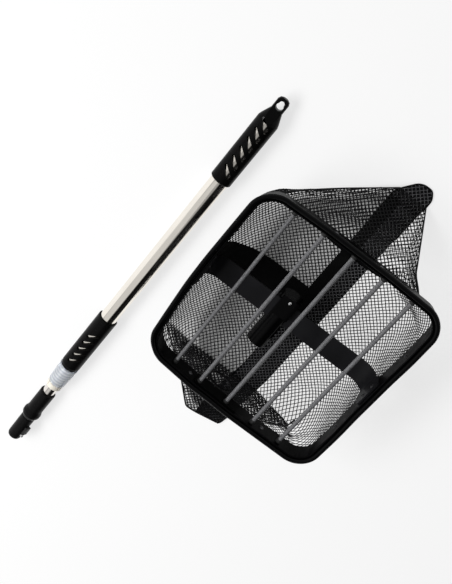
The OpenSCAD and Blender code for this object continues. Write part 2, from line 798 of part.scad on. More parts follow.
module upper_grip() color([0.04, 0.04, 0.04]) place_pole() difference() {
    intersection() {
        rotate_extrude($fn = 96) polygon([
            [0, upper_start], [grip_r - 0.8, upper_start], [grip_r, upper_start + 1],
            [grip_r, neck_start - 3], [grip_r - 1.2, neck_start + 1],
            [eye_width / 2, neck_start + 14], [eye_width / 2, pole_length - 5],
            [eye_width / 2 - 1.6, pole_length - 1.6], [eye_width / 2 - 4.5, pole_length],
            [0, pole_length]]);
        // Seen from the side, the end is pressed flat into the eye
        rotate([90, 0, 90]) translate([0, 0, -grip_r - 1]) linear_extrude(2 * grip_r + 2) polygon([
            [-grip_r - 1, upper_start - 1], [grip_r + 1, upper_start - 1],
            [grip_r + 1, neck_start - 4], [eye_thickness / 2, neck_start + 14],
            [eye_thickness / 2, pole_length + 1], [-eye_thickness / 2, pole_length + 1],
            [-eye_thickness / 2, neck_start + 14], [-grip_r - 1, neck_start - 4]]);
    }
    translate([0, 0, upper_start - 1]) cylinder(tube_stop - upper_start + 1.5, r = grip_bore, $fn = 96);
    slots(upper_start + 19, upper_slots, upper_slot_pitch, upper_slot_wide, upper_slot_narrow,
        slot_angle);
    translate([0, eye_thickness, pole_length - 9.5]) rotate([90, 0, 0])
        linear_extrude(2 * eye_thickness)
            slot_shape(eye_hole_wide, eye_hole_narrow, eye_hole_length);
}

module lock_collar() color([0.75, 0.8, 0.9, 0.6]) place_pole() {
    wide = outer_r + running_gap + collar_wall;
    rotate_extrude($fn = 96) polygon([
        [outer_bore + 0.7, collar_start], [wide - collar_taper - 0.8, collar_start],
        [wide - collar_taper, collar_start + 1], [wide, collar_end - 12],
        [wide, collar_end - collar_rim], [wide + 0.4, collar_end - collar_rim + 0.4],
        [wide + 0.4, collar_end - 0.4], [wide, collar_end],
        [outer_r + running_gap, collar_end], [outer_r + running_gap, tube_start - 0.5],
        [outer_bore + 0.7, tube_start - 0.5]]);
}

module lock_collet() color([0.9, 0.88, 0.82]) place_pole() difference() {
    rotate_extrude($fn = 96) polygon([
        [inner_r + running_gap, ring_start], [outer_bore + 0.3, ring_start],
        [outer_bore + 0.9, ring_start + 1], [outer_bore + 0.9, collar_start - 0.5],
        [outer_bore + 0.3, collar_start - 0.5], [outer_bore - 0.1, tube_start],
        [outer_bore - 0.1, collet_stop], [inner_r + running_gap, collet_stop]]);
    for (i = [0 : ring_slits - 1]) rotate([0, 0, 45 + i * 360 / ring_slits])
        translate([0, -0.6, ring_start - 1]) cube([outer_r + 2, 1.2, tube_start - ring_start]);
}

module connector_sleeve() color([0.03, 0.03, 0.03]) place_pole() {
    r = sleeve_diameter / 2;
    flare = flare_diameter / 2;
    rotate_extrude($fn = 96) polygon([
        [inner_r + clamp_gap / 2, plug_length], [plug_r + 0.6, plug_length],
        [flare - 0.4, plug_length + 5], [flare, plug_length + 6],
        [flare, plug_length + 11], [flare - 0.5, plug_length + 12], [r, plug_length + 18],
        [r, sleeve_end - 0.6], [r - 0.6, sleeve_end], [inner_r + clamp_gap / 2, sleeve_end]]);
}

module connector_plug() color([0.03, 0.03, 0.03]) place_pole() difference() {
    rotate_extrude($fn = 96) polygon([
        [plug_r - plug_wall, 0], [plug_r - 2.4, 0], [plug_r - 1.1, 1], [plug_r - plug_draft - 0.2, 3],
        [plug_r - plug_draft, 6], [plug_r, full_start], [plug_r, plug_length - 2], [plug_r - 0.8, plug_length - 1.6],
        [plug_r - 0.8, plug_length - 0.2], [inner_r - clamp_gap / 2, plug_length - 0.2],
        [inner_r - clamp_gap / 2, plug_length + spigot_length],
        [plug_r - plug_wall, plug_length + spigot_length]]);
    rotate([0, 0, -button_angle]) {
        translate([0, 0, button_at]) rotate([0, 90, 0])
            cylinder(plug_r + 1, r = button_r + button_gap, $fn = 40);
        translate([0, -tab_width / 2 - button_gap, tab_start - button_gap])
            cube([plug_r + 1, tab_width + 2 * button_gap, tab_length + 2 * button_gap]);
    }
}

module snap_button() color([0.85, 0.85, 0.85]) place_pole() rotate([0, 0, -button_angle])
    translate([plug_r - plug_wall - 1.4, 0, button_at]) rotate([0, 90, 0]) {
        cylinder(plug_wall + 1.4 + button_proud - 1.2, r = button_r, $fn = 40);
        translate([0, 0, plug_wall + 1.4 + button_proud - 1.2]) dome(button_r, 1.2);
    }

module release_tab() color([0.05, 0.05, 0.05]) place_pole() rotate([0, 0, -button_angle])
    difference() {
        translate([plug_r - plug_wall - 1.4, -tab_width / 2, tab_start])
            cube([plug_wall + 1.4 + button_proud - tab_drop, tab_width, tab_length]);
        for (i = [0 : 3])
            translate([plug_r + button_proud - tab_drop, -tab_width, tab_start + 3 + i * 3]) rotate([-90, 0, 0])
                cylinder(2 * tab_width, r = 0.8, $fn = 24);
    }

// A bent steel strip inside the plug: one leg under the button and tab, the other on the far wall
module button_spring() color([0.7, 0.7, 0.72]) place_pole() rotate([0, 0, -button_angle]) {
    leg = plug_r - plug_wall - 1.5;
    back = leg - button_stroke - 1.2;
    translate([0, 3, 0]) rotate([90, 0, 0]) linear_extrude(6) {
        polygon([[leg - 0.6, button_at - 3], [leg, button_at - 3], [leg, tab_stop], [leg - 0.6, tab_stop]]);
        polygon([[-leg + 0.2, button_at], [-leg + 0.8, button_at], [-leg + 0.8, tab_stop],
            [-leg + 0.2, tab_stop]]);
        translate([0.1, tab_stop]) difference() {
            circle(leg - 0.1, $fn = 64);
            circle(leg - 0.7, $fn = 64);
            translate([-2 * leg, -4 * leg]) square(4 * leg);
        }
    }
}

rim_frame();
rim_liner();
net_hem();
rim_rivets();
rim_joint_plate();
guard_rod(1);  // guard_rod_1
guard_rod(2);  // guard_rod_2
guard_rod(3);  // guard_rod_3
guard_rod(4);  // guard_rod_4
guard_rod(5);  // guard_rod_5
rod_end_caps();
yoke_strap();
yoke_rivets();
pole_socket();
socket_rivet();
socket_screws();
net_left_panel();
net_right_panel();
net_far_end();
net_near_end();
net_centre_band();
net_inner_strap();
net_port_binding();
outer_tube();
upper_grip();
lower_grip();
lock_collar();
lock_collet();
inner_tube();
inner_bush();
connector_sleeve();
connector_plug();
snap_button();
release_tab();
button_spring();
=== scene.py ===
import json
import math

import bmesh
import bpy
import numpy as np
from mathutils import Matrix, Vector


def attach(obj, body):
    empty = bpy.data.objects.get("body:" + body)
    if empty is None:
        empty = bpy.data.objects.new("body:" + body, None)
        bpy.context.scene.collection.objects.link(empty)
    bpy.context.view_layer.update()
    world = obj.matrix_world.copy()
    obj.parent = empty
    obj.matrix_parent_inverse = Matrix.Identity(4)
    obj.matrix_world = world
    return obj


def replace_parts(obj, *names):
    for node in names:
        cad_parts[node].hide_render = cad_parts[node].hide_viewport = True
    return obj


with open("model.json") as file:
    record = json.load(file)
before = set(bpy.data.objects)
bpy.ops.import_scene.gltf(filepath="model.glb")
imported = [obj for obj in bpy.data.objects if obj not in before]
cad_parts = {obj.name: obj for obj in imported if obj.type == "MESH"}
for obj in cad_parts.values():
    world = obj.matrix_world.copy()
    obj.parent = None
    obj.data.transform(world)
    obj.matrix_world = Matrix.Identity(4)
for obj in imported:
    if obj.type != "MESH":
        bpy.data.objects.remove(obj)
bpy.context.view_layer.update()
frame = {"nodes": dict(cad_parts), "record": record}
nodes = frame["nodes"]
slot_of = {part["node"]: part["material_slot"] for part in frame["record"]["subparts"]}
MM = 0.001

# ---- sizes, in millimetres, as in part.scad -------------------------------------------------
HEAD_X, HEAD_Y = 37.42, 117.68  # middle of the net head in the frame
HALF_W, HALF_D, CORNER = 139.0, 145.0, 34.0  # half of the mouth frame, and the radius of its corners
MOUTH_HEIGHT, RIM_HEIGHT, HEM_BELOW = 105.0, 28.0, 3.0
HEM_IN = 6.7  # from the frame's outside in to the netting
BAG_TOP = MOUTH_HEIGHT - RIM_HEIGHT - HEM_BELOW
BAG_X, BAG_Y = HALF_W - HEM_IN, HALF_D - HEM_IN
HEM_R = CORNER - HEM_IN
ARC_X, ARC_Y = BAG_X - HEM_R, BAG_Y - HEM_R  # centre of the hem's corner arc
END_HALF = HALF_W - CORNER
BAG_LEAN, BAND_W = 21.0, 42.0
SEAM_LEFT, SEAM_RIGHT = BAG_LEAN - BAND_W / 2, BAG_LEAN + BAND_W / 2
SEAM_FAR = 230.0  # y at which the seam ends
SOCKET_X, SOCKET_Z = -16.0, 47.0

# ---- sizes of the looks, in millimetres -----------------------------------------------------
PITCH, STRAND_R, KNOT_R, KNOT_FLAT = 4.5, 0.58, 1.0, 0.75
JITTER = 0.5  # how far a crossing is off its place in the lattice, in all
# lowest middle of a strand, the netting that lies flat, and the far crease's end on the band
SMALLEST_Z, FLOOR_Z, FOOT_Z = 0.75, 0.9, 1.6
CREASE_LEFT, CREASE_RIGHT = ARC_X + 16.0, 92.0  # where the far ear's edges leave the hem
EAR_FAR_LEFT, EAR_FAR_RIGHT = 207.0, 208.0  # y at which these edges reach the floor
NEAR_FOOT, NEAR_FOOT_OUT = 148.0, 162.0  # the near wall's fold on the floor, and its right end
NEAR_EAR_REACH = 239.5
PORT_R, PORT_Y = 17.25 + 2.0, -141.6
TAPE_AT, TAPE_W, TAPE_SLANT = 8.0, 40.0, 5.0  # the tape's middle where it leaves the band, width, drift
TAPE_FROM = TAPE_AT - TAPE_W / 2
TAPE_TO = 0.985  # share of the way up to the hem
ARM_W, ARM_END = 15.5, 193.0  # the tape's arm along the band

# plan outlines in the head's millimetres
BAND_LEFT = [(-7, -238.5), (-9, -200), (-4, -160), (0, -125), (0, 0),
             (0, 150), (0, 200), (5, 208), (16.5, 223.5), (24, 227.5)]
BAND_RIGHT = [(31, -231), (34, -205), (39, -160), (42, -125), (42, 0),
              (42, 150), (42, 196), (43.6, 205), (43.0, 218), (36, 227.5)]
# edges of the near ear, as its reach towards the pole side and x
EAR_LEFT = [(141, -128), (150, -116), (175, -88), (207.5, -53), (240, -23)]
EAR_RIGHT = [(150, 110), (166, 108), (190, 66), (208, 35), (231, 31)]


def head(x, y, z):
    """A place in the head's millimetres, in the frame's metres."""
    return ((x + HEAD_X) * MM, (y + HEAD_Y) * MM, z * MM)


def linked(name, data):
    """A new object in the scene."""
    obj = bpy.data.objects.new(name, data)
    bpy.context.scene.collection.objects.link(obj)
    return obj


# ---- camera, fitted to the photograph -------------------------------------------------------
CAMERA_AT = (-172.0, 439.4, 980.3)
AZIMUTH, ELEVATION, ROLL = -10.32, 63.02, -152.51  # degrees
SENSOR, PHOTO_HEIGHT, FOCAL_PIXELS = 36.0, 584.0, 806.9


def make_camera():
    azimuth, elevation, roll = (math.radians(a) for a in (AZIMUTH, ELEVATION, ROLL))
    level = math.cos(elevation)
    back = Vector((level * math.sin(azimuth), level * math.cos(azimuth), math.sin(elevation)))
    side = Vector((0, 0, 1)).cross(back).normalized()
    up = back.cross(side)
    right = math.cos(roll) * side + math.sin(roll) * up
    top = -math.sin(roll) * side + math.cos(roll) * up
    camera = linked("camera", bpy.data.cameras.new("camera"))
    place = Matrix((right, top, back)).transposed().to_4x4()
    place.translation = Vector(head(*CAMERA_AT))
    camera.matrix_world = place
    camera.data.sensor_fit = "VERTICAL"
    camera.data.sensor_height = SENSOR
    camera.data.lens = FOCAL_PIXELS / PHOTO_HEIGHT * SENSOR
    camera.data.clip_start, camera.data.clip_end = 0.01, 20.0
    bpy.context.scene.camera = camera


make_camera()


# ---- shader trees ---------------------------------------------------------------------------
class Tree:
    """Short calls for the nodes of a material or of the world."""

    def __init__(self, tree):
        self.tree = tree

    def link(self, output, socket):
        self.tree.links.new(output, socket)

    def node(self, kind, *sources, named=None, **settings):
        """A node whose inputs get values or links, in order and by name. None leaves an input alone."""
        node = self.tree.nodes.new("ShaderNode" + kind)
        for name, value in settings.items():
            setattr(node, name, value)
        pairs = list(zip(node.inputs, sources))
        pairs += [(node.inputs[name], value) for name, value in (named or {}).items()]
        for socket, source in pairs:
            if isinstance(source, bpy.types.NodeSocket):
                self.link(source, socket)
            elif source is not None:
                socket.default_value = source
        return node

    def math(self, operation, a, b):
        return self.node("Math", a, b, operation=operation).outputs[0]

    def dot(self, a, b):
        return self.node("VectorMath", a, b, operation="DOT_PRODUCT").outputs["Value"]

    def map(self, value, lo, hi, out_lo=0.0, out_hi=1.0, interpolation="SMOOTHSTEP"):
        node = self.node("MapRange", value, lo, hi, out_lo, out_hi, interpolation_type=interpolation)
        return node.outputs["Result"]

    def rays(self):
        """The Light Path values of camera, glossy and transmission rays."""
        path = self.node("LightPath").outputs
        return path["Is Camera Ray"], path["Is Glossy Ray"], path["Is Transmission Ray"]


class Finish(Tree):
    """A Principled material and the grain that can be laid on it."""

    def __init__(self, name, color, rough, metal=0.0, spec=0.5, sheen=0.0):
        self.material = bpy.data.materials.new(name)
        self.material.use_nodes = True
        super().__init__(self.material.node_tree)
        self.inputs = self.tree.nodes["Principled BSDF"].inputs
        self.set("Base Color", (*color, 1))
        self.set("Roughness", rough)
        self.set("Metallic", metal)
        self.set("Specular IOR Level", spec)
        self.set("Sheen Weight", sheen)
        self.set("IOR", 1.5)

    def set(self, name, value):
        self.inputs[name].default_value = value

    def coords(self, scale=(1, 1, 1)):
        place = self.node("TexCoord").outputs["Object"]
        return self.node("Mapping", named={"Vector": place, "Scale": scale}).outputs["Vector"]

    def noise(self, scale, detail):
        named = {"Vector": self.coords(), "Scale": scale, "Detail": detail}
        return self.node("TexNoise", named=named).outputs["Fac"]

    def wave(self, scale, distortion, stretch=(1, 1, 1), **settings):
        named = {"Vector": self.coords(stretch), "Scale": scale, "Distortion": distortion}
        return self.node("TexWave", named=named, **settings).outputs["Fac"]

    def vary_color(self, value, dark, light, at=(0.3, 0.7)):
        ramp = self.node("ValToRGB", value)
        for element, position, color in zip(ramp.color_ramp.elements, at, (dark, light)):
            element.position = position
            element.color = (*color, 1)
        self.link(ramp.outputs["Color"], self.inputs["Base Color"])

    def vary_rough(self, value, lo, hi):
        self.link(self.map(value, 0.3, 0.7, lo, hi, "LINEAR"), self.inputs["Roughness"])

    def bump(self, value, strength, distance):
        named = {"Height": value, "Strength": strength, "Distance": distance}
        self.link(self.node("Bump", named=named).outputs["Normal"], self.inputs["Normal"])


def scaled(color, factor):
    return tuple(min(1, c * factor) for c in color)


def plastic(name, color, rough, grain=900.0, bump=0.12, spec=0.5):
    finish = Finish(name, color, rough, spec=spec)
    finish.vary_color(finish.noise(28.0, 4.0), scaled(color, 0.8), scaled(color, 1.25))
    finish.vary_rough(finish.noise(60.0, 5.0), rough * 0.82, min(1, rough * 1.2))
    finish.bump(finish.noise(grain, 2.0), bump, 0.00012)
    return finish.material


def speckled(name, color):
    finish = Finish(name, color, 0.38, spec=0.35)
    grain = finish.noise(900.0, 3.0)
    finish.vary_color(grain, scaled(color, 0.55), scaled(color, 1.5), (0.38, 0.62))
    finish.vary_rough(grain, 0.3, 0.5)
    finish.bump(grain, 0.25, 0.0002)
    return finish.material


def polished(name, color, rough):
    finish = Finish(name, color, rough, metal=1.0)
    scratch = finish.noise(240.0, 4.0)
    finish.vary_rough(scratch, rough * 0.7, rough * 1.5)
    finish.vary_color(finish.noise(30.0, 3.0), scaled(color, 0.95), color)
    finish.bump(scratch, 0.02, 0.00005)
    return finish.material


def cloth(name, color, rough=0.85):
    finish = Finish(name, color, rough, spec=0.12, sheen=0.03)
    thread, uneven = 1400.0, 1.5
    warp_threads = finish.wave(thread, uneven, (1, 0, 0))
    weft_threads = finish.wave(thread, uneven, (0, 1, 0))
    finish.bump(finish.math("MULTIPLY", warp_threads, weft_threads), 0.5, 0.0002)
    finish.vary_color(finish.noise(60.0, 4.0), scaled(color, 0.7), scaled(color, 1.5))
    return finish.material


def ribbed_translucent(name, color, rough):
    finish = Finish(name, color, rough)
    finish.set("Transmission Weight", 0.6)
    finish.set("IOR", 1.45)
    finish.set("Subsurface Weight", 0.2)
    finish.set("Subsurface Radius", (0.004, 0.004, 0.005))
    finish.bump(finish.noise(500.0, 2.0), 0.05, 0.0001)
    finish.vary_rough(finish.noise(80.0, 3.0), 0.28, 0.4)
    # light and dark bands painted along the collar: painted light and shade of its ribs
    rib_shading_bands = finish.wave(60.0, 0.6, bands_direction="Y")
    finish.vary_color(rib_shading_bands, (0.58, 0.62, 0.68), (0.86, 0.88, 0.91), (0.2, 0.8))
    return finish.material


# ---- materials ------------------------------------------------------------------------------
materials = {}


def define(kind, name, *values, **options):
    materials[name] = kind(name, *values, **options)


define(plastic, "frame_black", (0.0016, 0.0016, 0.0018), 0.28, bump=0.05, spec=0.08)
define(plastic, "liner_black", (0.0016, 0.0016, 0.0018), 0.36, bump=0.05, spec=0.05)
define(cloth, "hem_fabric", (0.004, 0.004, 0.0045))
define(polished, "rivet_steel", (0.10, 0.10, 0.105), 0.3)
define(plastic, "plate_black", (0.0015, 0.0015, 0.0015), 0.5, spec=0.05)
define(speckled, "rod_grey", (0.12, 0.12, 0.125))
define(plastic, "ferrule_black", (0.02, 0.02, 0.02), 0.5, spec=0.25)
define(plastic, "yoke_grey", (0.008, 0.008, 0.009), 0.38, bump=0.05, spec=0.1)
define(plastic, "socket_black", (0.0012, 0.0012, 0.0013), 0.2, bump=0.01, spec=0.08)
define(polished, "rivet_bright", (0.86, 0.86, 0.86), 0.25)
define(plastic, "netting", (0.004, 0.004, 0.0045), 0.5, grain=4000.0, bump=0.2, spec=0.2)
# net_raised is a lighter copy of the netting: painted light for the lit threads seen against the black band
define(plastic, "net_raised", (0.11, 0.11, 0.115), 0.4, grain=4000.0, bump=0.2, spec=0.4)
define(cloth, "band_fabric", (0.003, 0.003, 0.0034))
define(cloth, "tape_black", (0.002, 0.002, 0.002), 0.9)
define(polished, "tube_outer_steel", (0.93, 0.885, 0.81), 0.10)
define(plastic, "grip_black", (0.003, 0.003, 0.003), 0.24, grain=500.0, spec=0.05)
define(ribbed_translucent, "collar_translucent", (0.80, 0.83, 0.87), 0.32)
define(plastic, "collet_cream", (0.75, 0.71, 0.62), 0.3)
define(polished, "tube_inner_steel", (0.86, 0.82, 0.77), 0.12)
define(plastic, "bush_black", (0.03, 0.03, 0.03), 0.5)
define(plastic, "connector_black", (0.004, 0.004, 0.004), 0.34, grain=500.0, spec=0.07)
define(polished, "button_steel", (0.85, 0.85, 0.85), 0.15)
define(plastic, "tab_black", (0.008, 0.008, 0.008), 0.42, spec=0.3)
define(polished, "spring_steel", (0.6, 0.6, 0.62), 0.25)


def dress(mesh, material):
    mesh.materials.clear()
    mesh.materials.append(materials[material])


for node_name, node_object in nodes.items():
    dress(node_object.data, slot_of[node_name])


# ---- shaping functions, in the head's millimetres -------------------------------------------
# waves of a ripple: times the base frequency, direction along a and b, phase, share of the seed, size
RIPPLE_WAVES = [(1.0, 0.83, 0.31, 1.3, 1.0, 0.5),
                (1.7, -0.52, 0.71, 0.4, 1.0, 0.35),
                (2.9, 0.4, 0.9, 0.0, 2.2, 0.15)]
# how far the rim's sides draw in towards its corners, and how far they bow out on the way
LEFT_NEAR_IN, LEFT_FAR_IN, RIGHT_IN, RIGHT_OUT = 4.6, 2.8, 1.8, 2.0
NEAR_IN, NEAR_OUT, FAR_IN = 7.5, 2.2, 3.0
# where this sets in: a start, the length to its full size and at times the most that it grows to
FORM_UP, FORM_ENDS, FORM_SIDES = (8.0, 64.0), (60.0, 70.0), (50.0, 75.0)
TO_CORNER_Y, TO_CORNER_NEAR, TO_CORNER_FAR = (20.0, 90.0, 1.3), (45.0, 75.0, 1.1), (45.0, 90.0, 1.1)
NEAR_BOW = (-35.0, 50.0)


def clamp(t, top=1):
    return np.clip(t, 0, top)


def rise(value, start, length, top=1):
    """0 up to start, 1 a length further on, and no more than top."""
    return clamp((value - start) / length, top)


def smooth(t):
    t = clamp(t)
    return t * t * (3 - 2 * t)


def ripple(a, b, size, wave, seed=0.0):
    """Soft folds over a surface with the coordinates a and b."""
    k = 2 * math.pi / wave
    return size * sum(np.sin(k * times * (a * to_a + b * to_b) + phase + seed * part) * share
                      for times, to_a, to_b, phase, part, share in RIPPLE_WAVES)


def warp(points):
    """The rim's free form, which fades out down the bag.

    The sides draw in towards the corners, most on the left and on the pole side.
    """
    x, y, z = points.T
    up = rise(z, *FORM_UP)
    to_corner = rise(np.abs(y), *TO_CORNER_Y)
    left_in = np.where(y < 0, LEFT_NEAR_IN, LEFT_FAR_IN) * to_corner
    right_in = RIGHT_IN * to_corner - RIGHT_OUT * smooth(1.5 * to_corner)
    dx = -np.sign(x) * np.where(x < 0, left_in, right_in) * smooth(rise(np.abs(x), *FORM_SIDES))
    near_in = NEAR_IN * rise(-x, *TO_CORNER_NEAR) - NEAR_OUT * smooth(rise(x, *NEAR_BOW))
    near = smooth(rise(-y, *FORM_ENDS)) * near_in
    far = smooth(rise(y, *FORM_ENDS)) * FAR_IN * rise(np.abs(x), *TO_CORNER_FAR)
    return np.stack([x + dx * up, y + (near - far) * up, z], axis=1)


def off_ends(t, steep):
    """0 where t is 0 or 1, and 1 between them."""
    return clamp(t * steep) * clamp((1 - t) * steep)


def bezier(start, low, high, end, count):
    """Points of a cubic curve, without its first."""
    u = np.linspace(0, 1, count)[1:, None]
    v = 1 - u
    return v ** 3 * start + 3 * u * v ** 2 * low + 3 * u * u * v * high + u ** 3 * end


def hem_x(y):
    """Half width of the hem at y."""
    past = np.clip(np.abs(y) - ARC_Y, 0, HEM_R)
    return ARC_X + np.sqrt(np.maximum(HEM_R ** 2 - past ** 2, 0))


def hem_y(x):
    """Half depth of the hem at x."""
    past = np.clip(np.abs(x) - ARC_X, 0, HEM_R * 0.98)
    return ARC_Y + np.sqrt(np.maximum(HEM_R ** 2 - past ** 2, 0))


def from_port(x, z):
    """Distance from the middle of the pole's port, seen from the pole side."""
    return np.hypot(x - SOCKET_X, z - SOCKET_Z)


def near_foot(x):
    """Reach of the near wall's fold, which runs further out to the right of the band."""
    return NEAR_FOOT + (NEAR_FOOT_OUT - NEAR_FOOT) * rise(x, SEAM_RIGHT, 64.0)


# ---- surfaces of the bag --------------------------------------------------------------------
# Each has at(a, b), places in the head's millimetres, and inside(a, b), where there is netting.
class HalfBag:
    """One half of the bag: at each y a curve from the band's edge along the floor and up to the hem.

    The part on the floor ends at floor_x. From full_y on it narrows to foot, the end of the far crease.
    That crease leaves the hem at crease_x and hangs in by pull. soft is the floor's share that belongs to
    the bend, belly is how far the side bellies out above it, and a taper below 1 narrows sooner.
    """

    ROWS, FLOOR_STEPS, BEND_STEPS = 240, 50, 111
    PULL_WITHIN = 0.22  # share of the crease over which the pull sets in
    NARROW_SOFT = 0.7  # share of the soft bend that is lost where the curve narrows
    # the bend's upper handle in shares of the climb: across, what a full side adds, up, what it takes off
    HANDLE_X, HANDLE_FULL, HANDLE_Z, HANDLE_LOW = 0.55, 0.41, 0.62, 0.18
    RIPPLE, RIPPLE_WAVE = 2.2, 46.0
    LOOSE_FROM, LOOSE_ABOVE, LOOSE_BELOW = 1.0, 12.0, 16.0  # height and lengths over which ripples set in
    GATHER, GATHER_Y, GATHER_WIDTH, GATHER_IN = 2.2, -137.0, 9.0, 25.0  # folds gathered at the near fold
    LEAN_FROM, LEAN_POWER = 96.0, 1.5  # reach on the pole side from which the curve leans out
    TUCK, TUCK_FROM = 0.6, 95.0  # share by which the far right corner hangs in under the rim, and its start
    TUCK_X, TUCK_WITHIN = 70.0, 35.0

    def __init__(self, side, edge, floor_x, crease_x, pull, foot, full_y, soft, belly, taper=1.0):
        self.side, self.edge, self.floor_x = side, edge, floor_x
        self.crease_x, self.pull, self.foot, self.full_y = crease_x, pull, foot, full_y
        self.soft, self.belly, self.taper = soft, belly, taper
        self.ys = np.linspace(-BAG_Y + 0.01, foot[1], self.ROWS)
        self.curves = np.array([self.curve(y) for y in self.ys])
        steps = np.sqrt((np.diff(self.curves, axis=1) ** 2).sum(-1))
        self.along = np.concatenate([np.zeros((len(self.ys), 1)), np.cumsum(steps, axis=1)], axis=1)

    def crease(self, t):
        """x of the far crease at t, from the hem to the floor."""
        straight = self.side * self.crease_x * (1 - t) + self.foot[0] * t
        return straight - self.side * self.pull * smooth(t / self.PULL_WITHIN) * (1 - t)

    def curve(self, y):
        """Points (x, z) of the curve at y."""
        foot_x, foot_y = self.foot
        start = float(hem_y(np.array(self.crease_x)))
        t = max(0.0, (y - start) / (foot_y - start))
        hem_at = min(abs(y), start) if y > 0 else abs(y)
        top = np.array([self.side * float(hem_x(np.array(hem_at))), BAG_TOP])
        if t > 0:
            top = np.array([float(self.crease(t)), BAG_TOP * (1 - t) + FOOT_Z * t])
        narrow = min(1.0, max(0.0, (y - self.full_y) / (foot_y - self.full_y))) ** self.taper
        corner = np.array([self.floor_x + (foot_x - self.floor_x) * narrow, FLOOR_Z])
        soft = self.soft * (1 - self.NARROW_SOFT * narrow)
        full = (1 - t) * (1 - narrow if self.taper < 1 else 1)
        edge = np.array([self.edge, FLOOR_Z])
        bend = np.array([self.edge + (corner[0] - self.edge) * (1 - soft), FLOOR_Z])
        climb = top - corner
        low = corner + np.array([climb[0] * self.belly * full, 0])
        handle_x = self.HANDLE_X + self.HANDLE_FULL * full
        handle_z = self.HANDLE_Z - self.HANDLE_LOW * (1 - t)
        high = corner + climb * np.array([handle_x, handle_z])
        floor = np.linspace(0, 1, self.FLOOR_STEPS)[:, None] * (bend - edge) + edge
        return np.vstack([floor, bezier(bend, low, high, top, self.BEND_STEPS)])

    def end(self, y):
        """Length of the curve at y."""
        return np.interp(y, self.ys, self.along[:, -1])

    def on_curves(self, y, s):
        """x and z at (y, s), between the two nearest curves."""
        place = np.clip((y - self.ys[0]) / (self.ys[1] - self.ys[0]), 0, len(self.ys) - 1.001)
        row = place.astype(int)
        part = (place - row)[:, None]
        share = clamp(s / np.maximum(self.end(y), 1e-6))
        each = np.arange(len(share))
        found = []
        for rows in (row, row + 1):
            along = self.along[rows] / self.along[rows][:, -1:]
            j = np.clip((along < share[:, None]).sum(1) - 1, 0, along.shape[1] - 2)
            step = np.maximum(along[each, j + 1] - along[each, j], 1e-9)
            w = rise(share, along[each, j], step)[:, None]
            curves = self.curves[rows]
            found.append(curves[each, j] * (1 - w) + curves[each, j + 1] * w)
        return (found[0] * (1 - part) + found[1] * part).T

    def at(self, y, s):
        y, s = np.asarray(y, float), np.asarray(s, float)
        x, z = self.on_curves(y, s)
        # on the pole side the whole curve leans out to the near wall's foot as it goes down
        lean = rise(-y, self.LEAN_FROM, BAG_Y - self.LEAN_FROM) ** self.LEAN_POWER * (1 - z / BAG_TOP)
        reach = near_foot(x) - BAG_Y
        loose = rise(z, self.LOOSE_FROM, self.LOOSE_ABOVE) * clamp((BAG_TOP - z) / self.LOOSE_BELOW)
        z = z + loose * ripple(y, s, self.RIPPLE, self.RIPPLE_WAVE, self.side)
        gathered = np.exp(-((y - self.GATHER_Y) / self.GATHER_WIDTH) ** 2) * clamp(s / self.GATHER_IN)
        folds = 0.6 + 0.4 * np.sin(s * 0.21)
        z = z + self.GATHER * gathered * folds
        if self.side > 0:
            tuck = self.TUCK * smooth(rise(x, self.TUCK_X, self.TUCK_WITHIN)) * (1 - z / BAG_TOP)
            y = np.where(y > self.TUCK_FROM, self.TUCK_FROM + (y - self.TUCK_FROM) * (1 - tuck), y)
        return np.stack([x, y - lean * reach, np.maximum(z, SMALLEST_Z)], axis=1)

    def inside(self, y, s):
        lo, hi = self.ys[0], self.ys[-1]
        return (y > lo) & (y < hi) & (s > 0) & (s < self.end(np.clip(y, lo, hi)))


left_half = HalfBag(side=-1, edge=SEAM_LEFT, floor_x=BAG_LEAN - 85.0, crease_x=CREASE_LEFT, pull=0.0,
                    foot=(3.0, EAR_FAR_LEFT), full_y=80.0, soft=0.30, belly=0.35)
right_half = HalfBag(side=1, edge=SEAM_RIGHT, floor_x=BAG_LEAN + 85.0, crease_x=CREASE_RIGHT, pull=8.0,
                     foot=(SEAM_RIGHT + 1.0, EAR_FAR_RIGHT), full_y=92.0, soft=0.18, belly=0.62, taper=0.5)


class FarTop:
    """The far ear's upper side: from the hem down to the band, nearly flat."""

    END_Y, BASE_Z, SAG = 207.5, 2.1, 3.0
    RIPPLE, RIPPLE_WAVE = 1.6, 40.0
    FREE, STEEP = 1.6, 5  # how fast the sag and the ripple set in, from the sides and from the ends

    def __init__(self):
        self.length = math.hypot(self.END_Y - BAG_Y, BAG_TOP - self.BASE_Z)

    def across(self, x, t):
        lo, hi = left_half.crease(t), right_half.crease(t)
        return (x - lo) / (hi - lo)

    def at(self, x, q):
        t = clamp(q / self.length)
        u = clamp(self.across(x, t))
        hem = hem_y(-CREASE_LEFT + (CREASE_RIGHT + CREASE_LEFT) * u)
        free = clamp(4 * u * (1 - u) * self.FREE)
        z = BAG_TOP * (1 - t) + self.BASE_Z * t - self.SAG * free * np.sin(t * math.pi)
        z = z + ripple(x, q, self.RIPPLE, self.RIPPLE_WAVE, 3.0) * free * off_ends(t, self.STEEP)
        return np.stack([x, hem * (1 - t) + self.END_Y * t, np.maximum(z, self.BASE_Z)], axis=1)

    def inside(self, x, q):
        t = q / self.length
        u = self.across(x, np.clip(t, 0, 0.9999))
        return (t > 0) & (t < 1) & (u > 0) & (u < 1)


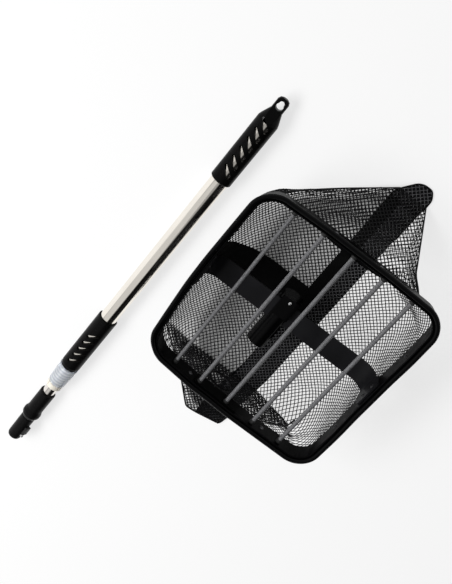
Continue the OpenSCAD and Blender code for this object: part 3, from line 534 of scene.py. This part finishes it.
class NearWall:
    """The near wall: from the hem nearly straight down to the fold on the floor, with the pole's port."""

    RIPPLE, RIPPLE_WAVE, SAG, STEEP = 2.6, 52.0, 1.2, 4
    FOLD_LEFT, FOLD_HEIGHT = -95.0, 1.5  # the wall's left end where it meets the floor
    PORT_CALM, PORT_LAP = 20.0, 0.6  # round the port: how far the ripples stay off, and what the ring covers

    def at(self, x, q):
        z = BAG_TOP - q
        t = q / BAG_TOP
        loose = off_ends(t, self.STEEP) * rise(from_port(x, z), PORT_R, self.PORT_CALM)
        bulge = loose * (ripple(x, q, self.RIPPLE, self.RIPPLE_WAVE, 5.0) - self.SAG)
        y = BAG_Y + (near_foot(x) - BAG_Y) * t + bulge
        return np.stack([x, -y, np.maximum(z, 1.0)], axis=1)

    def inside(self, x, q):
        z = BAG_TOP - q
        left_edge, right_edge = left_half.curves[0], right_half.curves[0]
        lo = np.where(z < self.FOLD_HEIGHT, self.FOLD_LEFT, np.interp(z, left_edge[:, 1], left_edge[:, 0]))
        hi = np.interp(z, right_edge[:, 1], right_edge[:, 0])
        in_wall = (q > 0) & (z > FLOOR_Z) & (x > lo) & (x < hi)
        return in_wall & (from_port(x, z) > PORT_R - self.PORT_LAP)


class NearEar:
    """One layer of the ear that lies flat on the floor on the pole side.

    inset keeps the layer back from the ear's left edge, so that the upper ones are smaller.
    """

    RIPPLE, RIPPLE_WAVE, LIFT, SHUFFLE = 2.4, 30.0, 1.2, 0.7
    LOWEST, LOWEST_LOOSE = 2, 0.15  # a layer below this height is nearly flat
    FLAT_FOLD, FLAT_END, FLAT_END_Y = 12.0, 14.0, -236.0  # flat at the fold and at the far edge
    FOLD_IN, FOLD_FROM, FOLD_WITHIN = 6, 90, 34  # the fold draws in to the left
    END_IN, END_FROM, END_WITHIN = 9, -21, 52  # the far edge draws in to the right

    def __init__(self, z, seed, inset):
        self.z, self.seed, self.inset = z, seed, inset

    def fold(self, x):
        return near_foot(x) - self.FOLD_IN * rise(-x, self.FOLD_FROM, self.FOLD_WITHIN)

    def at(self, x, y):
        loose = rise(-y, self.fold(x), self.FLAT_FOLD) * rise(y, self.FLAT_END_Y, self.FLAT_END)
        wave = self.LIFT + ripple(x, y, self.RIPPLE, self.RIPPLE_WAVE, self.seed)
        z = self.z + loose * wave * (1 if self.z > self.LOWEST else self.LOWEST_LOOSE)
        dx = self.SHUFFLE * loose * np.sin(y * 0.19 + self.seed)
        dy = self.SHUFFLE * loose * np.sin(x * 0.16 + self.seed)
        return np.stack([x + dx, y + dy, np.maximum(z, SMALLEST_Z)], axis=1)

    def inside(self, x, y):
        reach = -y
        lo = np.interp(reach, *zip(*EAR_LEFT)) + self.inset
        hi = np.interp(reach, *zip(*EAR_RIGHT)) - 0.1 * self.inset
        end = NEAR_EAR_REACH - self.END_IN * (x - self.END_FROM) / self.END_WITHIN
        return (reach > self.fold(x) - 1.0) & (reach < end) & (x > lo) & (x < hi)


class BandTop:
    """The mesh that is sewn over the band, left free where the tape's arm runs."""

    Z, MARGIN = 2.3, 0.6
    NEAR_END, FAR_END, ARM_START = -230, 226, -14

    def at(self, x, y):
        return np.stack([x, y, np.full_like(x, self.Z)], axis=1)

    def inside(self, x, y):
        lo = np.interp(y, [p[1] for p in BAND_LEFT], [p[0] for p in BAND_LEFT])
        hi = np.interp(y, [p[1] for p in BAND_RIGHT], [p[0] for p in BAND_RIGHT])
        arm = np.where((y > self.ARM_START) & (y < ARM_END), ARM_W, 0)
        across = (x > np.maximum(lo, arm) + self.MARGIN) & (x < hi - self.MARGIN)
        return (y > self.NEAR_END) & (y < self.FAR_END) & across


# ---- strands, knots and sewn cords ----------------------------------------------------------
SCATTER_U, SCATTER_V = (12.9898, 78.233, 43758.5453), (39.425, 11.135, 24634.6345)
HALVINGS, SHORTEST_SHARE = 12, 0.08  # of a strand that is cut at the netting's edge
SHORTEST, LONGEST, OVERLAP = 0.05, 30.0, 0.2  # length of a strand in mm, and its overlap in radii


def scatter(i, j, k, m, size):
    """A repeatable number from -0.5 to 0.5 for each crossing."""
    value = np.sin(i * k + j * m) * size
    return value - np.floor(value) - 0.5


def lattice_lines(reach):
    """Numbers of the lattice lines that cover a reach, with one more at each end."""
    return np.arange(math.floor(min(reach) / PITCH) - 1, math.ceil(max(reach) / PITCH) + 2)


def strands(surface, a_range, b_range, shift=(0, 0)):
    """A 45 degree lattice on a surface: ends of its pieces of strand, and its crossings."""
    slant = math.sqrt(0.5)
    corners = [(a, b) for a in a_range for b in b_range]
    i, j = np.meshgrid(lattice_lines([(a + b) * slant for a, b in corners]),
                       lattice_lines([(a - b) * slant for a, b in corners]), indexing="ij")
    u = i * PITCH + scatter(i, j, *SCATTER_U) * JITTER + shift[0]
    v = j * PITCH + scatter(i, j, *SCATTER_V) * JITTER + shift[1]
    a, b = (u + v) * slant, (u - v) * slant
    inside = surface.inside(a.ravel(), b.ravel()).reshape(a.shape)
    pieces = []
    for di, dj in ((1, 0), (0, 1)):
        start = slice(0, a.shape[0] - di), slice(0, a.shape[1] - dj)
        stop = slice(di, None), slice(dj, None)
        a0, b0, a1, b1 = (g.ravel() for g in (a[start], b[start], a[stop], b[stop]))
        in0, in1 = inside[start].ravel(), inside[stop].ravel()
        both = in0 & in1
        pieces.append((a0[both], b0[both], a1[both], b1[both]))
        pieces.append(cut_at_edge(surface, in0 & ~in1, a0, b0, a1, b1))
        pieces.append(cut_at_edge(surface, in1 & ~in0, a1, b1, a0, b0))
    a0, b0, a1, b1 = (np.concatenate([piece[k] for piece in pieces]) for k in range(4))
    return surface.at(a0, b0), surface.at(a1, b1), surface.at(a[inside], b[inside])


def cut_at_edge(surface, keep, a_in, b_in, a_out, b_out):
    """Pieces of strand that start inside the surface and are cut where they leave it."""
    a, b, da, db = a_in[keep], b_in[keep], (a_out - a_in)[keep], (b_out - b_in)[keep]
    lo, hi = np.zeros(len(a)), np.ones(len(a))
    for _ in range(HALVINGS):
        middle = (lo + hi) / 2
        ok = surface.inside(a + da * middle, b + db * middle)
        lo, hi = np.where(ok, middle, lo), np.where(ok, hi, middle)
    long = lo > SHORTEST_SHARE
    return a[long], b[long], (a + da * lo)[long], (b + db * lo)[long]


def tubes(starts, ends, radius):
    """Thin square tubes, as vertices and faces."""
    along = ends - starts
    length = np.linalg.norm(along, axis=1, keepdims=True)
    ok = (length[:, 0] > SHORTEST) & (length[:, 0] < LONGEST)
    starts, ends, along = starts[ok], ends[ok], along[ok] / length[ok]
    up = np.where(np.abs(along[:, 2:3]) > 0.9, np.array([[1.0, 0, 0]]), np.array([[0, 0, 1.0]]))
    first = np.cross(along, up)
    first /= np.linalg.norm(first, axis=1, keepdims=True)
    second = np.cross(along, first)
    overlap = along * radius * OVERLAP
    turns = [k * math.pi / 2 for k in range(4)]
    rings = [p + radius * (math.cos(turn) * first + math.sin(turn) * second)
             for p in (starts - overlap, ends + overlap) for turn in turns]
    verts = np.stack(rings, axis=1).reshape(-1, 3)
    sides = [[k, (k + 1) % 4, 4 + (k + 1) % 4, 4 + k] for k in range(4)]
    caps = [[3, 2, 1, 0], [4, 5, 6, 7]]
    base = np.arange(len(starts))[:, None] * len(rings)
    return verts, np.concatenate([base + np.array([face]) for face in sides + caps])


def knots(centres, radius):
    """Small octahedra, as vertices and faces."""
    directions = [[1, 0, 0], [0, 1, 0], [-1, 0, 0], [0, -1, 0], [0, 0, KNOT_FLAT], [0, 0, -KNOT_FLAT]]
    verts = (centres[:, None, :] + (np.array(directions) * radius)[None]).reshape(-1, 3)
    base = np.arange(len(centres))[:, None] * len(directions)
    faces = np.array([[0, 1, 4], [1, 2, 4], [2, 3, 4], [3, 0, 4], [1, 0, 5], [2, 1, 5], [3, 2, 5], [0, 3, 5]])
    return verts, (base[:, :, None] + faces[None]).reshape(-1, 3)


def smoothed(points, rounds):
    for _ in range(rounds):
        points[1:-1] = (points[:-2] + 2 * points[1:-1] + points[2:]) / 4
    return points


def curve_through(points, count):
    points = np.array(points, float)
    along = np.concatenate([[0], np.cumsum(np.linalg.norm(np.diff(points, axis=0), axis=1))])
    at = np.linspace(0, along[-1], count)
    return smoothed(np.stack([np.interp(at, along, points[:, k]) for k in range(3)], axis=1), 3)


def cordage(points, radius, sides=8):
    """A tube along a line of points, as vertices and faces."""
    points = np.array(points, float)
    along = np.gradient(points, axis=0)
    along /= np.linalg.norm(along, axis=1, keepdims=True)
    first = np.cross(along, np.array([[0, 0, 1.0]]))
    first /= np.maximum(np.linalg.norm(first, axis=1, keepdims=True), 1e-6)
    second = np.cross(along, first)
    turn = (np.arange(sides) * 2 * math.pi / sides)[None, :, None]
    ring = radius * (np.cos(turn) * first[:, None] + np.sin(turn) * second[:, None])
    verts = (points[:, None] + ring).reshape(-1, 3)
    last = (len(points) - 1) * sides
    faces = [[i + k, i + (k + 1) % sides, i + sides + (k + 1) % sides, i + sides + k]
             for i in range(0, last, sides) for k in range(sides)]
    faces += [list(range(sides))[::-1], [last + k for k in range(sides)]]
    return verts, faces


# ---- mesh objects ---------------------------------------------------------------------------
def net_piece(name, mesh, slot, material=None):
    """A piece on the net head's body."""
    mesh.update()
    mesh.shade_smooth()
    obj = linked(name, mesh)
    dress(mesh, material or slot)
    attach(obj, "net_head")
    return obj


def mesh_object(name, parts, slot, material=None):
    """A piece from [(vertices, faces)] in the head's millimetres, given the rim's free form."""
    faces, base = [], 0
    for part_verts, part_faces in parts:
        rows = part_faces if isinstance(part_faces, list) else part_faces.tolist()
        faces += [[i + base for i in row] for row in rows]
        base += len(part_verts)
    verts = warp(np.concatenate([part[0] for part in parts])) + np.array([HEAD_X, HEAD_Y, 0])
    mesh = bpy.data.meshes.new(name)
    mesh.from_pydata((verts * MM).tolist(), [], faces)
    return net_piece(name, mesh, slot, material)


# ---- netting --------------------------------------------------------------------------------
# plan outlines of the far and the near end's share of the netting
FAR_SHARE = [(-END_HALF, BAG_Y - 12), (END_HALF, BAG_Y - 12),
             (SEAM_RIGHT, SEAM_FAR + 5), (SEAM_LEFT, SEAM_FAR + 5)]
NEAR_SHARE = [(-END_HALF, 12 - BAG_Y), (END_HALF, 12 - BAG_Y), (END_HALF, -170), (-END_HALF, -170)]
THIN = 0.72  # the right half's strands in the far ear, which the photograph shows finer
# layers of the near ear: height, seed, inset, shift of the lattice
NEAR_LAYERS = [(1.2, 1.0, 0, (0.9, 0.2)), (2.6, 2.0, 4, (2.9, 2.2)), (3.8, 3.0, 18, (1.7, 3.4))]
REACH_LEFT, REACH_RIGHT = 190, 150  # of the lattice, from the band over each half
CREASE_CORD_R, EAR_CORD_R, EAR_CORD_Z, EAR_CORD_ON_BAND = 0.9, 1.3, 2.0, 2.2
net_parts = {"left": [], "right": [], "far": [], "near": []}


def within(points, outline):
    """True where points lie inside a convex outline in plan."""
    corners = np.array(outline, float)
    middle = corners.mean(0)
    ok = np.ones(len(points), bool)
    for a, b in zip(corners, np.roll(corners, -1, axis=0)):
        edge = b - a
        side = edge[0] * (points[:, 1] - a[1]) - edge[1] * (points[:, 0] - a[0])
        inner = edge[0] * (middle[1] - a[1]) - edge[1] * (middle[0] - a[0])
        ok &= side * inner > 0
    return ok


def add_netting(surface, a_range, b_range, home, shift=(0, 0)):
    """Netting on a surface, shared out between its home part and the two ends."""
    starts, ends, crossings = strands(surface, a_range, b_range, shift)
    for is_strand, points in ((True, (starts + ends) / 2), (False, crossings)):
        far = within(points, FAR_SHARE) | (points[:, 1] > BAG_Y + 1)
        near = within(points, NEAR_SHARE) | (points[:, 1] < -BAG_Y - 1)
        for part, chosen in (("far", far), ("near", near), (home, ~far & ~near)):
            if not chosen.any():
                continue
            thin = THIN if (part, home) == ("far", "right") else 1.0
            if is_strand:
                net_parts[part].append(tubes(starts[chosen], ends[chosen], STRAND_R * thin))
            else:
                net_parts[part].append(knots(points[chosen], KNOT_R * thin))


def make_netting():
    far_top = FarTop()
    add_netting(left_half, (-BAG_Y, EAR_FAR_LEFT), (0, REACH_LEFT), "left")
    add_netting(right_half, (-BAG_Y, EAR_FAR_RIGHT), (0, REACH_RIGHT), "right", shift=(1.1, 0.6))
    add_netting(far_top, (-CREASE_LEFT, CREASE_LEFT), (0, far_top.length), "far", shift=(2.0, 0.3))
    add_netting(NearWall(), (-CREASE_LEFT, CREASE_LEFT), (0, BAG_TOP), "near", shift=(0.5, 1.7))
    for level, seed, inset, shift in NEAR_LAYERS:
        add_netting(NearEar(level, seed, inset), (-128, 112), (-240, -140), "near", shift=shift)


def sew_ears():
    """Cords along the far ear's creases and round the near ear."""
    t = np.linspace(0, 1, 50)
    for half in (left_half, right_half):
        start = float(hem_y(np.array(half.crease_x)))
        line = [half.crease(t), start + (half.foot[1] - start) * t, BAG_TOP * (1 - t) + 1.8 * t]
        net_parts["far"].append(cordage(np.stack(line, axis=1), CREASE_CORD_R))
    outline = [(x, -reach, EAR_CORD_Z) for reach, x in EAR_LEFT]
    outline += [(*BAND_LEFT[0], EAR_CORD_ON_BAND), (*BAND_RIGHT[0], EAR_CORD_ON_BAND)]
    outline += [(x, -reach, EAR_CORD_Z) for reach, x in EAR_RIGHT[-2::-1]]
    net_parts["near"].append(cordage(curve_through(outline, 140), EAR_CORD_R))


make_netting()
sew_ears()
for part, node in (("left", "net_left_panel"), ("right", "net_right_panel"),
                   ("far", "net_far_end"), ("near", "net_near_end")):
    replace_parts(mesh_object("netting_" + part, net_parts[part], "netting"), node)


# ---- band, tape and port --------------------------------------------------------------------
def closed_sheet(top, bottom, rows, cols):
    """A closed cloth between two grids of points, as vertices and faces."""
    n = rows * cols
    faces = []
    for i in range(rows - 1):
        for j in range(cols - 1):
            a = i * cols + j
            faces.append([a, a + 1, a + cols + 1, a + cols])
            faces.append([n + a, n + a + cols, n + a + cols + 1, n + a + 1])
    rim = list(range(cols)) + [i * cols + cols - 1 for i in range(1, rows)]
    rim += [(rows - 1) * cols + j for j in range(cols - 2, -1, -1)]
    rim += [i * cols for i in range(rows - 2, 0, -1)]
    faces += [[b, a, n + a, n + b] for a, b in zip(rim, rim[1:] + rim[:1])]
    return np.concatenate([top, bottom]), faces


def spread(points, rows):
    """Points along an edge in plan, one for each row, with its corners rounded."""
    points = np.array(points, float)
    place, at = np.arange(len(points)), np.linspace(0, len(points) - 1, rows)
    return smoothed(np.stack([np.interp(at, place, points[:, k]) for k in range(2)], axis=1), 6)


def strip(left_edge, right_edge, base, thick, rows=260, cols=17, wave=0.35):
    """A closed strip of cloth between two edges in plan, its under side at base."""
    from_left, from_right = spread(left_edge, rows), spread(right_edge, rows)
    u = np.linspace(0, 1, cols)
    x = from_left[:, None, 0] * (1 - u) + from_right[:, None, 0] * u
    y = from_left[:, None, 1] * (1 - u) + from_right[:, None, 1] * u
    edge = clamp(np.minimum(u, 1 - u) * 14)[None] ** 0.5
    row = np.arange(rows)
    ends = clamp(np.minimum(row, rows - 1 - row) / 3.0)[:, None] ** 0.5
    waves = 0.5 + 0.5 * np.sin(y * 0.11 + x * 0.07) * np.sin(x * 0.16 - y * 0.05)
    z = base + thick * (0.55 + 0.45 * edge * ends) + wave * waves * edge
    top = np.stack([x, y, z], axis=2).reshape(-1, 3)
    bottom = np.stack([x, y, np.full_like(x, base)], axis=2).reshape(-1, 3)
    return closed_sheet(top, bottom, rows, cols)


def make_band():
    """The band on the bag's bottom seam, the mesh over it and its bound edge."""
    under, thick = 0.15, 1.5
    strand_r, knot_r = 0.42, 0.75
    cord_r, cord_z = 1.3, 1.5
    band = mesh_object("bottom_band", [strip(BAND_LEFT, BAND_RIGHT, under, thick)], "band_fabric")
    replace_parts(band, "net_centre_band")
    starts, ends, crossings = strands(BandTop(), (-10, 46), (-240, 230), shift=(0.4, 1.3))
    cords = [tubes(starts, ends, strand_r), knots(crossings, knot_r)]
    # the mesh over the band gets the lighter net_raised colour, painted light on threads that catch the light
    mesh_object("band_mesh", cords, "netting", "net_raised")
    edge = [(x, y, cord_z) for x, y in BAND_LEFT[5:] + BAND_RIGHT[:4:-1]]
    mesh_object("band_binding", [cordage(curve_through(edge, 90), cord_r)], "tape_black")
    return band


def make_tape():
    """The tape inside the bag: across the left half on the netting, with an arm along the band."""
    rows, cols = 90, 13
    above_net, thick = 0.9, 1.0
    lowest = 1.9  # over the band
    across = np.tile(np.arange(cols) / (cols - 1), rows)
    k = np.repeat(np.arange(rows) / (rows - 1), cols)
    y = TAPE_FROM + TAPE_W * across
    core = left_half.at(y + TAPE_SLANT * smooth(k), left_half.end(y) * TAPE_TO * k)
    grid = core.reshape(rows, cols, 3)
    normal = np.cross(np.gradient(grid, axis=1), np.gradient(grid, axis=0))
    normal /= np.maximum(np.linalg.norm(normal, axis=2, keepdims=True), 1e-9)
    normal *= np.sign(normal[:, :, 2:3] + 1e-9)
    normal = normal.reshape(-1, 3)
    under, top = core + normal * above_net, core + normal * (above_net + thick)
    under[:, 2] = np.maximum(under[:, 2], lowest)
    top[:, 2] = np.maximum(top[:, 2], lowest + 0.8)
    arm_left = [(-1.0, TAPE_FROM), (-1.0, 60), (-0.5, 120), (0, ARM_END)]
    arm_right = [(ARM_W, TAPE_FROM), (ARM_W, 60), (ARM_W, 120), (ARM_W, ARM_END)]
    arm = strip(arm_left, arm_right, lowest, 0.9, rows=120, cols=9, wave=0.25)
    tape = mesh_object("inner_tape", [closed_sheet(top, under, rows, cols), arm], "tape_black")
    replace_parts(tape, "net_inner_strap")


def make_port():
    """The bound ring of the pole's port, which lies on the slope of the near wall."""
    ring_r, cord_r, cord_half, stitches, stitch = 18.3, 1.0, 1.35, 24, 0.10
    around, section = 96, 12
    slope = math.atan((NEAR_FOOT - BAG_Y) / BAG_TOP)
    verts, faces = [], []
    for i in range(around):
        a = 2 * math.pi * i / around
        for k in range(section):
            b = 2 * math.pi * k / section
            r = ring_r + (cord_r + stitch * math.sin(stitches * a)) * math.cos(b)
            out = cord_half * math.sin(b)
            u, v = r * math.cos(a), r * math.sin(a)
            y = PORT_Y + out * math.cos(slope) + v * math.sin(slope)
            z = SOCKET_Z + v * math.cos(slope) - out * math.sin(slope)
            verts.append((SOCKET_X + u, y, z))
            this, after = i * section, (i + 1) % around * section
            faces.append([this + k, this + (k + 1) % section, after + (k + 1) % section, after + k])
    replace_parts(mesh_object("port_binding", [(np.array(verts), faces)], "hem_fabric"), "net_port_binding")


bottom_band = make_band()
make_tape()
make_port()


# ---- rim pieces in their free form ----------------------------------------------------------
CUT_REACH, CUT_STEP = 132, 12
SHARP_ANGLE = 33  # degrees
HEM_LOW = 75.0  # height below which the hem is gathered


def cut_grid(bm):
    """Cuts every 12 mm along x and y, so that long faces can follow the free form."""
    for axis, centre in ((0, HEAD_X), (1, HEAD_Y)):
        for offset in range(-CUT_REACH, CUT_REACH + 1, CUT_STEP):
            place, normal = Vector((0, 0, 0)), Vector((0, 0, 0))
            place[axis], normal[axis] = (centre + offset) * MM, 1
            bmesh.ops.bisect_plane(bm, geom=bm.verts[:] + bm.edges[:] + bm.faces[:], dist=1e-7,
                                   plane_co=place, plane_no=normal)


def formed(node, cut):
    """A copy of a CAD node in the rim's free form."""
    mesh = nodes[node].data.copy()
    bm = bmesh.new()
    bm.from_mesh(mesh)
    bmesh.ops.remove_doubles(bm, verts=bm.verts, dist=1e-6)
    if cut:
        cut_grid(bm)
    bm.to_mesh(mesh)
    bm.free()
    if "custom_normal" in mesh.attributes:
        mesh.attributes.remove(mesh.attributes["custom_normal"])
    flat = np.zeros(len(mesh.vertices) * 3)
    mesh.vertices.foreach_get("co", flat)
    middle = np.array([HEAD_X, HEAD_Y, 0])
    points = flat.reshape(-1, 3) / MM - middle
    if node == "net_hem":
        gathers = np.sin(points[:, 0] * 0.31) * np.sin(points[:, 1] * 0.27)
        points[:, 2] -= (points[:, 2] < HEM_LOW) * (0.6 + 0.6 * gathers)
    mesh.vertices.foreach_set("co", ((warp(points) + middle) * MM).ravel())
    piece = net_piece("formed_" + node, mesh, slot_of[node])
    mesh.set_sharp_from_angle(angle=math.radians(SHARP_ANGLE))
    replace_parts(piece, node)


for node in ("rim_frame", "rim_liner", "net_hem"):
    formed(node, cut=True)
for node in ["rim_rivets", "rim_joint_plate", "rod_end_caps"] + [f"guard_rod_{k}" for k in range(1, 6)]:
    formed(node, cut=False)


# ---- floor ----------------------------------------------------------------------------------
FLOOR_HALF = 6.0  # metres
FLOOR_WHITE, FLOOR_WHITE_IN_SHADE = 0.7, 0.07  # share of plain white in the open floor and in the painted shade under the netting
# the floor's own colour, and the grey of a painted shadow put under the bag's left half
FLOOR_TONE, FLOOR_PAINTED_SHADE = (0.9, 0.9, 0.9, 1), (0.5, 0.5, 0.5, 1)
WHITE_FROM, WHITE_TO = 0.5, 1.6  # metres from the frame's origin over which the floor turns plain white
LIFT_FADE = (-0.06, -0.002)  # metres of the floor below the band over which the painted shade fades
# the painted shade on the floor, which looks grey through the net, as half planes: normal, point in the
# head's mm, softness
PAINTED_SHADE_EDGES = [((1, 0), (21, 0), 7), ((-1, 0), (-122, 0), 12), ((-0.698, 0.716), (-112, 93), 12),
               ((-0.686, -0.728), (-121, -141), 4), ((0, -1), (0, -226), 8)]


def floor_material(band):
    finish = Finish("floor_white", FLOOR_TONE[:3], 0.95, spec=0.0)
    # places on the floor from the band, which lies on it at rest
    place = finish.node("TexCoord", object=band).outputs["Object"]
    # painted shade: 1 where the floor is painted grey under the bag's left half, fading out as the band is
    # lifted
    shade = finish.map(finish.node("SeparateXYZ", place).outputs["Z"], *LIFT_FADE)
    for (nx, ny), (x, y), soft in PAINTED_SHADE_EDGES:
        at = (nx * (x + HEAD_X) + ny * (y + HEAD_Y)) * MM
        edge = finish.map(finish.dot(place, (nx, ny, 0)), at - soft * MM, at + soft * MM, 1.0, 0.0)
        shade = finish.math("MULTIPLY", shade, edge)
    camera_ray, glossy_ray, transmission_ray = finish.rays()
    seen = finish.math("MAXIMUM", camera_ray, finish.math("MAXIMUM", glossy_ray, transmission_ray))
    tone = finish.node("MixRGB", finish.math("MULTIPLY", shade, seen), FLOOR_TONE, FLOOR_PAINTED_SHADE)
    finish.link(tone.outputs[0], finish.inputs["Base Color"])
    away = finish.node("VectorMath", place, operation="LENGTH").outputs["Value"]
    # less plain white inside the painted shade, so that it stays grey
    near_white = finish.map(shade, 0.0, 1.0, FLOOR_WHITE, FLOOR_WHITE_IN_SHADE)
    white = finish.math("MAXIMUM", near_white, finish.map(away, WHITE_FROM, WHITE_TO))
    glow = finish.node("Emission", (1, 1, 1, 1), 1.0).outputs[0]
    surface = finish.tree.nodes["Principled BSDF"].outputs[0]
    mix = finish.node("MixShader", finish.math("MULTIPLY", white, seen), surface, glow)
    finish.link(mix.outputs[0], finish.tree.nodes["Material Output"].inputs["Surface"])
    return finish.material


def make_floor(band):
    mesh = bpy.data.meshes.new("floor")
    bm = bmesh.new()
    bmesh.ops.create_grid(bm, x_segments=1, y_segments=1, size=FLOOR_HALF)
    bm.to_mesh(mesh)
    bm.free()
    mesh.materials.append(floor_material(band))
    linked("floor", mesh)


# ---- world and lamps ------------------------------------------------------------------------
# the ceiling's level, and the heights over which the walls turn into it
CEILING, CEILING_FROM, CEILING_TO = 0.34, 0.4, 0.62
# the flag's direction, the cosines from it at the edge, and how dark it is
FLAG_DIRECTION, FLAG_EDGE, FLAG_DARK = (0.75, -0.45, 0.42), (0.76, 0.86), 0.99
# the soft light's direction, the cosines over which it sets in, and its levels
SOFT_FROM, SOFT_EDGE, SOFT_LEVELS = (-0.8, 0, 0.6), (-0.3, 0.9), (0.06, 0.5)


def make_world():
    """Plain white to the camera and through clear pieces.

    What is mirrored is white walls, a dimmer ceiling and a dark flag on the right. All other rays get
    a softer light from the left.
    """
    world = bpy.data.worlds.new("studio")
    bpy.context.scene.world = world
    world.use_nodes = True
    world.node_tree.nodes.clear()
    tree = Tree(world.node_tree)
    to = tree.node("TexCoord").outputs["Generated"]
    height = tree.node("SeparateXYZ", to).outputs["Z"]
    ceiling = tree.map(height, CEILING_FROM, CEILING_TO, 1.0, CEILING)
    flag = tree.map(tree.dot(to, tuple(Vector(FLAG_DIRECTION).normalized())), *FLAG_EDGE)
    open_part = tree.math("SUBTRACT", 1.0, tree.math("MULTIPLY", flag, FLAG_DARK))
    walls = tree.math("MULTIPLY", ceiling, open_part)
    soft = tree.map(tree.dot(to, SOFT_FROM), *SOFT_EDGE, *SOFT_LEVELS)
    camera_ray, glossy_ray, transmission_ray = tree.rays()
    mirrored = tree.node("Mix", glossy_ray, None, soft, walls).outputs[0]
    plain = tree.math("MAXIMUM", camera_ray, transmission_ray)
    background = tree.node("Background", (1, 1, 1, 1), tree.math("MAXIMUM", mirrored, plain))
    tree.node("OutputWorld", background.outputs[0])


def area_lamp(name, at, aim, width, height, power):
    lamp = bpy.data.lights.new(name, "AREA")
    lamp.shape = "RECTANGLE"
    lamp.size, lamp.size_y = width, height
    lamp.energy = power
    obj = linked(name, lamp)
    obj.location = at
    obj.rotation_euler = (Vector(aim) - Vector(at)).to_track_quat("-Z", "Y").to_euler()
    return obj


make_floor(bottom_band)
make_world()
# lamps are in metres and watts. The steel mirrors the soft box and not the much brighter key
key = area_lamp("key", (-1.30, -0.50, 1.60), (0.04, 0.05, 0), 1.9, 0.8, 42)
key.visible_glossy = False
area_lamp("soft_box", (-0.47, -0.54, 0.98), (0, 0, 0), 1.3, 0.9, 1.1)

bpy.context.scene.view_settings.view_transform = "Standard"
